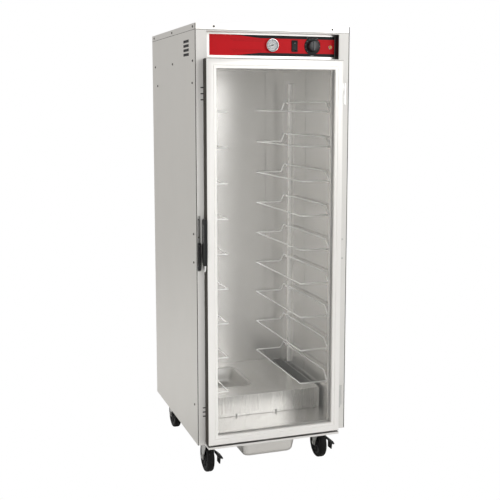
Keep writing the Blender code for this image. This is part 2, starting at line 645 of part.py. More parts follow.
def make_heater(cabinet):
    """Heater module, its water pan, and the element, fan and motor inside it."""
    wall = 0.0015
    bottom = LINER_FLOOR + GAP
    module = block((-MODULE_HALF, MODULE_FRONT, bottom), (MODULE_HALF, MODULE_BACK, MODULE_TOP))
    inside = block((-MODULE_HALF + wall, MODULE_FRONT + wall, bottom - 0.01),
                   (MODULE_HALF - wall, MODULE_BACK - wall, MODULE_TOP - wall))
    pan_x, pan_y = WATER_PAN_CENTRE
    hole_x = WATER_PAN_WIDTH / 2 - PAN_RIM + 0.001
    hole_y = WATER_PAN_LENGTH / 2 - PAN_RIM + 0.001
    above, below = MODULE_TOP + 0.01, MODULE_TOP - 0.01
    pan_hole = block((pan_x - hole_x, pan_y - hole_y, below), (pan_x + hole_x, pan_y + hole_y, above))
    slots = [block((x, INTAKE_YS[0], below), (x + INTAKE_SLOT, INTAKE_YS[1], above)) for x in INTAKE_XS]
    for row in range(4):
        y = 0.230 + 0.105 * row
        outside, within = -MODULE_HALF - 0.01, -MODULE_HALF + 0.01
        slots.append(block((outside, y, OUTLET_ZS[0]), (within, y + 0.070, OUTLET_ZS[1])))
    place(cut(module, inside, pan_hole, *slots), "heater_module", "liner_steel", cabinet)

    pan_axis = add_empty("water_pan_axis", (pan_x, pan_y, MODULE_TOP), cabinet)
    rim_top = MODULE_TOP + GAP + 0.0012
    pan = deep_pan(WATER_PAN_CENTRE, WATER_PAN_WIDTH / 2, WATER_PAN_LENGTH / 2, rim_top, WATER_PAN_DEPTH)
    place(pan, "water_pan", "brushed_steel", pan_axis, smooth=True)

    motor_profile = [(0, 0.0320), (0.036, 0.0320), (0.040, 0.0350), (0.040, 0.0620), (0.036, 0.0650),
                     (0.009, 0.0650), (0.009, 0.0690), (0.0040, 0.0690), (0.0040, 0.1010), (0, 0.1010)]
    place(turned(motor_profile, (*FAN_CENTRE, 0), "Z"), "fan_motor", "painted_black", cabinet, smooth=True)

    fan_axis = add_empty("fan_axis", (*FAN_CENTRE, 0.080), cabinet)
    plate_bottom, plate_top, blade_top, fan_radius = 0.074, 0.076, 0.108, 0.060
    bore, hub = 0.0044, 0.012
    fan_profile = [(bore, plate_bottom - 0.002), (hub, plate_bottom - 0.002), (hub, plate_bottom),
                   (fan_radius, plate_bottom), (fan_radius, plate_top), (hub, plate_top), (hub, 0.090),
                   (bore, 0.090)]
    fan = turned(fan_profile, (*FAN_CENTRE, 0), "Z")
    blade_count = 10
    for i in range(blade_count):
        blade = block((0.040, -0.001, plate_bottom + 0.001), (0.059, 0.001, blade_top))
        outward = Matrix.Translation((0.050, 0, 0))
        lean = outward @ Matrix.Rotation(math.radians(35), 4, "Z") @ outward.inverted()
        turn = Matrix.Rotation(math.tau * i / blade_count, 4, "Z")
        blade.data.transform(Matrix.Translation((*FAN_CENTRE, 0)) @ turn @ lean)
        fan = join(fan, blade)
    place(fan, "fan_wheel", "zinc_plate", fan_axis)

    loop_radius, loop_height, legs_gap = 0.078, 0.092, 0.35
    steps = 18
    points = []
    for i in range(steps + 1):
        angle = math.radians(90) + legs_gap + (math.tau - 2 * legs_gap) * i / steps
        points.append((FAN_CENTRE[0] + loop_radius * math.cos(angle),
                       FAN_CENTRE[1] + loop_radius * math.sin(angle), loop_height))
    leg_bottom = 0.034
    ends = [(points[0][0], points[0][1] + 0.030), (points[-1][0], points[-1][1] + 0.030)]
    bend = 0.006
    top = loop_height - bend
    start = [(*ends[0], leg_bottom), (*ends[0], top), (ends[0][0], ends[0][1] - bend, loop_height)]
    end = [(ends[1][0], ends[1][1] - bend, loop_height), (*ends[1], top), (*ends[1], leg_bottom)]
    element = tube(start + points + end, 0.0040, closed=False)
    place(element, "heating_element", "painted_black", cabinet, smooth=True)


def make_casters(cabinet):
    """Swivel forks with trailing wheels, and a brake pedal on each front one."""
    fork_half = WHEEL_HALF_WIDTH + 0.0055
    leg_inside = WHEEL_HALF_WIDTH + 0.0025
    for row, y in CASTER_YS.items():
        for side, side_name in ((-1, "left"), (1, "right")):
            name = row + "_" + side_name
            centre = Vector((side * CASTER_X, y, 0.0))
            axle = centre + Vector((0, TRAIL, AXLE_Z))
            swivel_axis = add_empty(name + "_swivel_axis", centre, cabinet)
            fork = rod(centre, "Z", 0.032, -0.0190, -0.0123, steps=24)
            crown = block((centre.x - fork_half, y - 0.024, -0.0215),
                          (centre.x + fork_half, y + 0.052, -0.0180))
            leg_outline = [(y - 0.022, -0.0190), (y + 0.052, -0.0190), (axle.y + 0.014, axle.z + 0.004),
                           (axle.y + 0.008, axle.z - 0.012), (axle.y - 0.008, axle.z - 0.012),
                           (axle.y - 0.014, axle.z + 0.004)]
            leg = prism(leg_outline, "X", centre.x - fork_half, centre.x + fork_half)
            space = block((centre.x - leg_inside, y - 0.06, -0.15),
                          (centre.x + leg_inside, y + 0.12, -0.0215))
            bolt = rod(axle, "X", AXLE_RADIUS, -fork_half - 0.001, fork_half + 0.001)
            nuts = [rod(axle, "X", 0.009, edge * (fork_half - 0.001), edge * (fork_half + 0.005), steps=6)
                    for edge in (-1, 1)]
            fork = join(cut(join(fork, crown, leg), space), bolt, *nuts)
            place(fork, name + "_fork", "zinc_plate", swivel_axis)

            wheel_axis = add_empty(name + "_wheel_axis", axle - centre, swivel_axis)
            bore = AXLE_RADIUS + GAP
            tread = WHEEL_HALF_WIDTH
            half_profile = [(bore, tread + 0.0015), (0.014, tread + 0.0015), (0.018, tread - 0.005),
                            (0.042, tread - 0.005), (0.048, tread), (0.0605, tread - 0.002),
                            (WHEEL_RADIUS, tread - 0.009)]
            profile = half_profile + [(radius, -along) for radius, along in reversed(half_profile)]
            wheel = turned(profile, axle, "X", 24)
            obj = place(wheel, name + "_wheel", "wheel_rubber", wheel_axis, smooth=True)
            obj.data.transform(Matrix.Translation(-centre))

            if row == "front":
                pivot = centre + Vector((fork_half, 0.004, -0.066))
                pedal_axis = add_empty(name + "_pedal_axis", pivot - centre, swivel_axis)
                pedal = [(0.0005, 0.004), (0.005, 0.004), (0.024, -0.012), (0.030, -0.022), (0.026, -0.026),
                         (0.019, -0.022), (0.017, -0.044), (0.012, -0.044), (0.012, -0.016), (0.0005, -0.006)]
                outline = [(pivot.x + x, pivot.z + z) for x, z in pedal]
                arm = prism(outline, "Y", y - 0.024, y + 0.010)
                obj = place(bevel(arm, 0.001), name + "_brake_pedal", "painted_black", pedal_axis)
                obj.data.transform(Matrix.Translation(-centre))


def main():
    clear_scene()
    make_materials()
    cabinet = add_empty("cabinet", CABINET_PLACE)
    make_side_panels(cabinet)
    make_back_panel(cabinet)
    make_top_cap(cabinet)
    make_front_frame(cabinet)
    make_base_frame(cabinet)
    make_liner(cabinet)
    make_racks(cabinet)
    make_controls(cabinet)
    make_door(cabinet)
    make_trough_and_drip_pan(cabinet)
    make_heater(cabinet)
    make_casters(cabinet)
    bpy.context.view_layer.update()


main()
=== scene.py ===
"""Looks for the food holding cabinet: a plain studio, the materials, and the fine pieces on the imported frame.

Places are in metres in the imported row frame. at(x, y, z) turns cabinet places into them: x from the
cabinet's middle, y back from the body's front face, z up from the body's lower edge.
"""

import json
import math

import bmesh
import bpy
from mathutils import Matrix, Vector

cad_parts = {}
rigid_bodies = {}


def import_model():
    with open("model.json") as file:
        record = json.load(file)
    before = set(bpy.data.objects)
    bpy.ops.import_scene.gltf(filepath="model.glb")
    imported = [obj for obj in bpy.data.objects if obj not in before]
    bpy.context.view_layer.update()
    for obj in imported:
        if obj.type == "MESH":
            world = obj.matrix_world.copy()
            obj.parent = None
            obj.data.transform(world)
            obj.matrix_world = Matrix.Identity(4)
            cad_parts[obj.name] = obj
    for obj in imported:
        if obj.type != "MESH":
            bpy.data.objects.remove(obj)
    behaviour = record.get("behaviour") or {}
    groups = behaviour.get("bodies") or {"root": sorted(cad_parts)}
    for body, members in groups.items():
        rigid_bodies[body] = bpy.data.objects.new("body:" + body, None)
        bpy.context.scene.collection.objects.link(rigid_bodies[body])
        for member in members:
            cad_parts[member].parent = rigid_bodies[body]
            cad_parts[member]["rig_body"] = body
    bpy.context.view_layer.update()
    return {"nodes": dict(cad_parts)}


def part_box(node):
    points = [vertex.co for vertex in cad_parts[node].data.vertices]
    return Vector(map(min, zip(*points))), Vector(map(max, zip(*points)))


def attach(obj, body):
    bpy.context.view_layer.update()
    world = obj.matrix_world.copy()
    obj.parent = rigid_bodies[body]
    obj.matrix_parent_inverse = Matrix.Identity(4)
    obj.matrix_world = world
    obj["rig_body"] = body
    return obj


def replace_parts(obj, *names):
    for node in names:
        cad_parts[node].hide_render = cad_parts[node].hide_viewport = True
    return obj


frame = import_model()
NODES = frame["nodes"]
FRONT_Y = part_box("front_frame")[0].y
BOTTOM_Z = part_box("left_side_panel")[0].z
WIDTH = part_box("top_cap")[1].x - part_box("top_cap")[0].x
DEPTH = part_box("top_cap")[1].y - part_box("top_cap")[0].y
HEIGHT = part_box("top_cap")[1].z - BOTTOM_Z
UP = Vector((0, 0, 1))
FORWARD = Vector((0, -1, 0))
BACK = Vector((0, 1, 0))
LEFT = Vector((-1, 0, 0))
RIGHT = Vector((1, 0, 0))

CAMERA_LENS, CAMERA_SHIFT = 64.386, -0.05
CAMERA_PLACE = (-1.2273, -3.3212, 1.3517)
CAMERA_YAW, CAMERA_PITCH = 0.3272, -0.1327
FRONT_GLOW, BACK_GLOW = 0.82, 0.71
LEFT_GLOW, RIGHT_GLOW = 0.84, 1.40
LEVEL_GLOW, OVERHEAD_GLOW = 1.0, 0.72
LIGHTS = (("key", (1.35, -2.75, 2.0), (1.4, 2.0), 21),
          ("top", (0.0, 0.2, 3.6), (2.2, 2.2), 30),
          ("left", (-3.4, 0.1, 1.6), (2.0, 2.4), 18))
FLOOR_REACH = 30.0
GLASS_ALPHA = 0.06
NOISE_LOW, NOISE_HIGH, NOISE_ROUGHNESS = 0.3, 0.7, 0.6


def at(x, y, z):
    return Vector((x, y + FRONT_Y, z + BOTTOM_Z))


# ---------------------------------------------------------------- studio


def make_camera():
    camera = bpy.data.cameras.new("camera")
    camera.sensor_width = 36.0
    camera.lens = CAMERA_LENS
    camera.shift_y = CAMERA_SHIFT
    camera.clip_start = 0.05
    holder = bpy.data.objects.new("camera", camera)
    bpy.context.scene.collection.objects.link(holder)
    holder.rotation_euler = (math.radians(90) + CAMERA_PITCH, 0, -CAMERA_YAW)
    holder.location = at(*CAMERA_PLACE)
    bpy.context.scene.camera = holder


def add_light(name, place, target, size, power):
    light = bpy.data.lights.new(name, "AREA")
    light.shape = "RECTANGLE"
    light.size, light.size_y = size
    light.energy = power
    holder = bpy.data.objects.new(name, light)
    bpy.context.scene.collection.objects.link(holder)
    holder.location = place
    holder.rotation_euler = (Vector(target) - Vector(place)).to_track_quat("-Z", "Y").to_euler()
    return holder


def map_range(nodes, links, source, start, end, low, high, kind="LINEAR"):
    """Go from low to high as the source goes from start to end."""
    spread = nodes.new("ShaderNodeMapRange")
    spread.interpolation_type = kind
    for name, value in (("From Min", start), ("From Max", end), ("To Min", low), ("To Max", high)):
        spread.inputs[name].default_value = value
    links.new(source, spread.inputs["Value"])
    return spread.outputs["Result"]


def times(nodes, links, first, second):
    product = nodes.new("ShaderNodeMath")
    product.operation = "MULTIPLY"
    links.new(first, product.inputs[0])
    links.new(second, product.inputs[1])
    return product.outputs[0]


def make_world():
    """White to the eye; for reflections, brighter in front and to the right, greyer behind and above."""
    world = bpy.data.worlds.new("studio")
    bpy.context.scene.world = world
    world.use_nodes = True
    nodes, links = world.node_tree.nodes, world.node_tree.links
    nodes.clear()
    out = nodes.new("ShaderNodeOutputWorld")
    seen = nodes.new("ShaderNodeBackground")
    seen.inputs["Color"].default_value = (1, 1, 1, 1)
    seen.inputs["Strength"].default_value = 1.0
    lit = nodes.new("ShaderNodeBackground")
    lit.inputs["Color"].default_value = (1.0, 0.985, 0.96, 1)
    mix = nodes.new("ShaderNodeMixShader")
    path = nodes.new("ShaderNodeLightPath")
    coordinates = nodes.new("ShaderNodeTexCoord")
    separate = nodes.new("ShaderNodeSeparateXYZ")
    links.new(coordinates.outputs["Generated"], separate.inputs[0])
    front, side, overhead = [
        map_range(nodes, links, separate.outputs[axis], start, end, low, high, "SMOOTHSTEP")
        for axis, start, end, low, high in (("Y", 0.5, -0.6, BACK_GLOW, FRONT_GLOW),
                                            ("X", 0.18, 0.46, LEFT_GLOW, RIGHT_GLOW),
                                            ("Z", -0.1, 0.9, LEVEL_GLOW, OVERHEAD_GLOW))]
    links.new(times(nodes, links, times(nodes, links, front, side), overhead), lit.inputs["Strength"])
    links.new(path.outputs["Is Camera Ray"], mix.inputs["Fac"])
    links.new(lit.outputs[0], mix.inputs[1])
    links.new(seen.outputs[0], mix.inputs[2])
    links.new(mix.outputs[0], out.inputs["Surface"])


def make_studio():
    """Camera, world and lights: three round the cabinet, one along its left edge and one in the cavity."""
    make_camera()
    make_world()
    bpy.context.scene.view_settings.view_transform = "Standard"
    for name, place, size, power in LIGHTS:
        add_light(name, at(*place), at(0, 0.3, 0.85), size, power)
    stile = add_light("stile", at(-1.1, -1.7, 0.75), at(-0.56, 0, 0.75), (0.12, 1.3), 1.5)
    stile.data.spread = math.radians(24)
    stile.visible_glossy = False
    fill = add_light("cavity_fill", at(-0.22, 0.40, 0.84), at(-0.24, 0.69, 0.84), (0.12, 1.30), 5.2)
    fill.visible_camera = False
    fill.visible_glossy = False
    corners = [(x * FLOOR_REACH, y * FLOOR_REACH, 0) for x, y in ((-1, -1), (1, -1), (1, 1), (-1, 1))]
    mesh = bpy.data.meshes.new("floor")
    mesh.from_pydata(corners, [], [(0, 1, 2, 3)])
    floor = bpy.data.objects.new("floor", mesh)
    bpy.context.scene.collection.objects.link(floor)
    floor.data.materials.append(plain_material("floor_white", (0.94, 0.94, 0.935), 0.8))
    floor.location.z = -0.0005  # just clear of the tyres
    floor.visible_camera = False


# ---------------------------------------------------------------- materials


def new_material(name):
    material = bpy.data.materials.new(name)
    material.use_nodes = True
    tree = material.node_tree
    return material, tree.nodes, tree.links, tree.nodes["Principled BSDF"]


def plain_material(name, colour, roughness):
    material, _, _, shader = new_material(name)
    shader.inputs["Base Color"].default_value = (*colour, 1)
    shader.inputs["Roughness"].default_value = roughness
    return material


def noise_at(nodes, links, stretch, scale, detail):
    """Noise in the object's own space, stretched by a scale for each axis."""
    coordinates = nodes.new("ShaderNodeTexCoord")
    mapping = nodes.new("ShaderNodeMapping")
    mapping.inputs["Scale"].default_value = stretch
    noise = nodes.new("ShaderNodeTexNoise")
    noise.inputs["Scale"].default_value = scale
    noise.inputs["Detail"].default_value = detail
    noise.inputs["Roughness"].default_value = NOISE_ROUGHNESS
    links.new(coordinates.outputs["Object"], mapping.inputs["Vector"])
    links.new(mapping.outputs["Vector"], noise.inputs["Vector"])
    return noise


def ranged(nodes, links, noise, low, high):
    return map_range(nodes, links, noise.outputs["Fac"], NOISE_LOW, NOISE_HIGH, low, high)


def add_relief(nodes, links, shader, noise, strength, distance):
    bump = nodes.new("ShaderNodeBump")
    bump.inputs["Strength"].default_value = strength
    bump.inputs["Distance"].default_value = distance
    links.new(noise.outputs["Fac"], bump.inputs["Height"])
    links.new(bump.outputs["Normal"], shader.inputs["Normal"])


def add_blend(nodes, links, shader, dark, light):
    """Mix two tones into the shader's colour, and return the socket that chooses between them."""
    mix = nodes.new("ShaderNodeMix")
    mix.data_type = "RGBA"
    mix.inputs[6].default_value = (*dark, 1)
    mix.inputs[7].default_value = (*light, 1)
    links.new(mix.outputs[2], shader.inputs["Base Color"])
    return mix.inputs[0]


def steel(name, tone, roughness, grain="Z", cloud=0.03, bump=0.10, metallic=1.0, swing=0.055, streak=0.55):
    """Brushed sheet: fine scratches along one axis, and faint cloudy variation from handling."""
    material, nodes, links, shader = new_material(name)
    shader.inputs["Metallic"].default_value = metallic
    along, across = 3.0, 420.0
    stretch = [across, across, across]
    stretch["XYZ".index(grain)] = along
    scratches = noise_at(nodes, links, stretch, 1.0, 3.0)
    clouds = noise_at(nodes, links, (1, 1, 1), 5.0, 3.0)
    chooser = add_blend(nodes, links, shader, [value * (1 - cloud * 2.2) for value in tone], tone)
    blend = nodes.new("ShaderNodeMath")
    blend.operation = "ADD"
    links.new(ranged(nodes, links, scratches, 0.0, streak), blend.inputs[0])
    links.new(ranged(nodes, links, clouds, 0.1, 0.45), blend.inputs[1])
    links.new(blend.outputs[0], chooser)
    gloss = ranged(nodes, links, scratches, roughness - swing, roughness + swing)
    links.new(gloss, shader.inputs["Roughness"])
    add_relief(nodes, links, shader, scratches, bump, 0.0002)
    return material


def grained(name, colour, roughness, scale=900.0, depth=0.0001, wear=0.15, gloss=0.5):
    """Moulded or painted surface: fine grain, and a little variation of tone and gloss."""
    material, nodes, links, shader = new_material(name)
    shader.inputs["Specular IOR Level"].default_value = gloss
    grain = noise_at(nodes, links, (1, 1, 1), scale, 2.0)
    clouds = noise_at(nodes, links, (1, 1, 1), 25.0, 3.0)
    dark = [value * (1 - wear) for value in colour]
    light = [min(1.0, value * (1 + wear)) for value in colour]
    links.new(clouds.outputs["Fac"], add_blend(nodes, links, shader, dark, light))
    links.new(ranged(nodes, links, grain, roughness - 0.05, roughness + 0.05), shader.inputs["Roughness"])
    add_relief(nodes, links, shader, grain, 0.3, depth)
    return material


def clear_glass(name):
    material, nodes, links, shader = new_material(name)
    shader.inputs["Base Color"].default_value = (0.40, 0.42, 0.42, 1)
    smears = noise_at(nodes, links, (1, 1, 1), 9.0, 3.0)
    links.new(ranged(nodes, links, smears, 0.02, 0.05), shader.inputs["Roughness"])
    shader.inputs["Alpha"].default_value = GLASS_ALPHA
    return material


def make_materials():
    return {
        "panel": steel("panel_steel", (0.80, 0.785, 0.755), 0.36, "Z"),
        "front": steel("front_steel", (0.78, 0.77, 0.75), 0.50, "Z", metallic=0.20),
        "header": steel("header_steel", (0.72, 0.71, 0.69), 0.32, "X"),
        "cap": steel("cap_steel", (0.80, 0.785, 0.76), 0.34, "Y"),
        "liner": steel("liner_steel", (0.77, 0.757, 0.733), 0.25, "X", cloud=0.015, bump=0.002,
                       metallic=0.72, swing=0.004, streak=0.08),
        "rail": steel("rail_steel", (0.95, 0.94, 0.92), 0.32, "Z", cloud=0.01, bump=0.004,
                      metallic=0.25, swing=0.01, streak=0.1),
        "module": steel("module_steel", (0.88, 0.87, 0.85), 0.27, "Z", cloud=0.015, bump=0.004,
                        metallic=0.80, swing=0.006, streak=0.2),
        "pan": steel("pan_steel", (0.64, 0.63, 0.61), 0.36, "X", cloud=0.01, bump=0.01, swing=0.02),
        "frame": steel("door_satin", (0.91, 0.90, 0.88), 0.42, "Z", cloud=0.01, bump=0.04, metallic=0.45),
        "wire": steel("bright_wire", (0.98, 0.98, 0.97), 0.18, "Y", cloud=0.01, metallic=0.40),
        "zinc": steel("zinc_plate", (0.60, 0.60, 0.59), 0.30, "Z"),
        "chrome": steel("polished_chrome", (0.86, 0.86, 0.86), 0.09, "Z", cloud=0.01),
        "black": grained("black_composite", (0.012, 0.012, 0.013), 0.42, gloss=0.25),
        "knob": grained("knob_grey", (0.026, 0.026, 0.030), 0.26, gloss=0.6),
        "grille": steel("grille_steel", (0.30, 0.295, 0.285), 0.36, "Y", cloud=0.01, bump=0.02),
        "scale": grained("scale_blue", (0.30, 0.36, 0.44), 0.40, 300.0, 0.00002, wear=0.02),
        "paint": grained("black_paint", (0.014, 0.014, 0.015), 0.38, 300.0, gloss=0.3),
        "gasket": grained("gasket_rubber", (0.040, 0.036, 0.030), 0.62, 500.0, gloss=0.2),
        "seam": grained("dark_seam_and_screw_grey", (0.050, 0.048, 0.045), 0.60, 500.0, gloss=0.2),
        "seal": grained("glazing_seal", (0.40, 0.39, 0.38), 0.50, 500.0),
        "tyre": grained("tyre_rubber", (0.007, 0.007, 0.007), 0.52, 400.0, gloss=0.15),
        "core": grained("wheel_core", (0.010, 0.010, 0.011), 0.42, 400.0, gloss=0.2),
        "red": grained("overlay_red", (0.72, 0.006, 0.014), 0.40, 700.0, 0.00005, 0.05, 0.12),
        "deep_red": grained("overlay_deep_red", (0.40, 0.004, 0.010), 0.40, 700.0, 0.00005, 0.05, 0.12),
        "ink": grained("overlay_black", (0.012, 0.012, 0.014), 0.40, 700.0, 0.00005, 0.05, 0.15),
        "dial": grained("dial_white", (0.82, 0.83, 0.84), 0.30, 300.0, 0.00002, wear=0.02),
        "white": grained("print_white", (0.80, 0.80, 0.80), 0.40, 300.0, 0.00002, wear=0.02),
        "amber": grained("amber_lens", (0.95, 0.42, 0.06), 0.14, 200.0, 0.00002, wear=0.05),
        "glass": clear_glass("clear_glass"),
    }


# ---------------------------------------------------------------- mesh helpers

BEVEL_ANGLE, SHARP_ANGLE = math.radians(30), math.radians(35)


def finish_piece(obj, name, material, body):
    obj.name = name
    obj.data.name = name
    obj.data.materials.clear()
    obj.data.materials.append(MATERIALS[material])
    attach(obj, body)
    return obj


def object_of(builder):
    bmesh.ops.recalc_face_normals(builder, faces=builder.faces)
    mesh = bpy.data.meshes.new("piece")
    builder.to_mesh(mesh)
    builder.free()
    obj = bpy.data.objects.new("piece", mesh)
    bpy.context.scene.collection.objects.link(obj)
    return obj


def soften(obj, width, segments):
    """Round the edges, keep flat faces flat, and apply."""
    modifier = obj.modifiers.new("edges", "BEVEL")
    modifier.width = width
    modifier.segments = segments
    modifier.limit_method = "ANGLE"
    modifier.angle_limit = BEVEL_ANGLE
    obj.data.shade_smooth()
    weights = obj.modifiers.new("weights", "WEIGHTED_NORMAL")
    weights.mode = "FACE_AREA"
    weights.weight = 100
    weights.keep_sharp = True
    graph = bpy.context.evaluated_depsgraph_get()
    mesh = bpy.data.meshes.new_from_object(obj.evaluated_get(graph))
    obj.modifiers.clear()
    obj.data = mesh


def dressed(node, material, width, segments=2):
    """A copy of a CAD node with clean faces and rounded edges, which stands for the node."""
    source = NODES[node]
    builder = bmesh.new()
    builder.from_mesh(source.data)
    bmesh.ops.remove_doubles(builder, verts=builder.verts, dist=2e-6)
    bmesh.ops.dissolve_limit(builder, angle_limit=math.radians(0.5), verts=builder.verts, edges=builder.edges)
    obj = object_of(builder)
    soften(obj, width, segments)
    finish_piece(obj, node + "_skin", material, source["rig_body"])
    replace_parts(obj, node)


MATERIALS = make_materials()
make_studio()

# ---------------------------------------------------------------- shapes


def piece(builder, name, material, body, width=0.0, segments=2):
    """Turn a filled bmesh into a named piece that rides on a body."""
    obj = object_of(builder)
    if width:
        soften(obj, width, segments)
    else:
        obj.data.shade_smooth()
        obj.data.set_sharp_from_angle(angle=SHARP_ANGLE)
    return finish_piece(obj, name, material, body)


def add_block(builder, low, high):
    low, high = at(*low), at(*high)
    turn = Matrix.Translation((low + high) / 2) @ Matrix.Diagonal((*(high - low), 1))
    bmesh.ops.create_cube(builder, size=1.0, matrix=turn)


def add_skin(builder, rings, closed_around=True, closed_along=False, capped=False):
    """Faces between rings that have equally many points."""
    loops = [[builder.verts.new(place) for place in ring] for ring in rings]
    count = len(loops[0])
    pairs = list(zip(loops, loops[1:]))
    if closed_along:
        pairs.append((loops[-1], loops[0]))
    for first, second in pairs:
        for i in range(count if closed_around else count - 1):
            j = (i + 1) % count
            builder.faces.new((first[i], first[j], second[j], second[i]))
    if capped:
        builder.faces.new(loops[0])
        builder.faces.new(loops[-1])


def add_prism(builder, outline, axis, start, end):
    """Outline in the other two axes, in X, Y, Z order, drawn out along an axis."""
    order = {"X": lambda a, b, along: (along, a, b), "Y": lambda a, b, along: (a, along, b),
             "Z": lambda a, b, along: (a, b, along)}[axis]
    rings = [[at(*order(a, b, along)) for a, b in outline] for along in (start, end)]
    add_skin(builder, rings, capped=True)


def add_lathe(builder, profile, centre, direction, steps):
    """Profile of (radius, distance) turned round a direction; closed if it starts off the axis."""
    across = direction.orthogonal().normalized()
    other = direction.cross(across)
    rings = []
    for step in range(steps):
        angle = math.tau * step / steps
        spoke = across * math.cos(angle) + other * math.sin(angle)
        rings.append([centre + direction * along + spoke * radius for radius, along in profile])
    add_skin(builder, rings, closed_around=profile[0][0] > 0, closed_along=True)
    bmesh.ops.remove_doubles(builder, verts=builder.verts, dist=1e-7)


def add_loop(builder, path, radius, sides):
    """Round bar along a closed path that is never parallel to the slanting reference."""
    slant = Vector((0.52, -0.31, 0.79))
    turns = [math.tau * side / sides for side in range(sides)]
    rings = []
    for i, place in enumerate(path):
        tangent = (path[(i + 1) % len(path)] - path[i - 1]).normalized()
        across = tangent.cross(slant).normalized()
        other = tangent.cross(across)
        rings.append([place + (across * math.cos(turn) + other * math.sin(turn)) * radius for turn in turns])
    add_skin(builder, rings, closed_along=True)


def add_frame(builder, stations, axis="Y"):
    """Mitred ring of rectangles (a0, b0, a1, b1, depth); depth runs along the axis."""
    rings = []
    for a0, b0, a1, b1, depth in stations:
        corners = ((a0, b0), (a1, b0), (a1, b1), (a0, b1))
        rings.append([at(a, depth, b) if axis == "Y" else at(depth, a, b) for a, b in corners])
    add_skin(builder, rings, closed_along=True)


def rounded_rectangle(centre, half_x, half_y, radius, z, steps=6):
    points = []
    for corner, (side_x, side_y) in enumerate(((1, 1), (-1, 1), (-1, -1), (1, -1))):
        for step in range(steps + 1):
            angle = math.radians(90 * (corner + step / steps))
            points.append(at(centre[0] + side_x * (half_x - radius) + radius * math.cos(angle),
                             centre[1] + side_y * (half_y - radius) + radius * math.sin(angle), z))
    return points


def rounded_path(corners, radius, steps=6):
    """Closed path with each corner replaced by a bend."""
    points = []
    for i, corner in enumerate(corners):
        before = (corners[i - 1] - corner).normalized() * radius
        after = (corners[(i + 1) % len(corners)] - corner).normalized() * radius
        for step in range(steps + 1):
            t = step / steps
            points.append(corner + before * (1 - t) ** 2 + after * t ** 2)
    return points


def add_screw(builder, place, direction, radius):
    """Pan head with a dimple in the middle."""
    height = radius * 0.5
    profile = [(0, height * 0.45), (radius * 0.28, height * 0.55), (radius * 0.40, height),
               (radius * 0.80, height * 0.82), (radius, height * 0.25), (radius, -height * 0.2),
               (0, -height * 0.2)]
    add_lathe(builder, profile, place, direction, 20)


def screws(name, material, body, places, radius):
    builder = bmesh.new()
    for place, direction in places:
        add_screw(builder, place, direction, radius)
    return piece(builder, name, material, body)


def lathe(name, material, body, profile, centre, direction, steps):
    builder = bmesh.new()
    add_lathe(builder, profile, centre, direction, steps)
    return piece(builder, name, material, body)


def blocks(name, material, body, items, width=0.0, segments=2):
    builder = bmesh.new()
    for low, high in items:
        add_block(builder, low, high)
    return piece(builder, name, material, body, width, segments)


# ---------------------------------------------------------------- shell

SIDE = WIDTH / 2
SHEET = 0.0015
CAP_SEAM = HEIGHT - 0.024
SLOT_LOW, SLOT_HIGH, SLOT_HALF = 0.093, 0.168, 0.00325
SLOT_ROWS = [1.600 - 0.017 * row for row in range(4)]
PANEL_BACK = DEPTH - 0.0018
PANEL_SCREWS = ((0.032, 1.650), (0.360, 1.650), (0.690, 1.650), (0.035, 1.522), (0.354, 1.522),
                (0.672, 1.522), (0.042, 1.438), (0.631, 1.438), (0.040, 0.852), (0.040, 0.739),
                (0.045, 0.158))
PLUG_ROWS = (1.420, 1.397, 1.374, 0.155, 0.1375, 0.120)


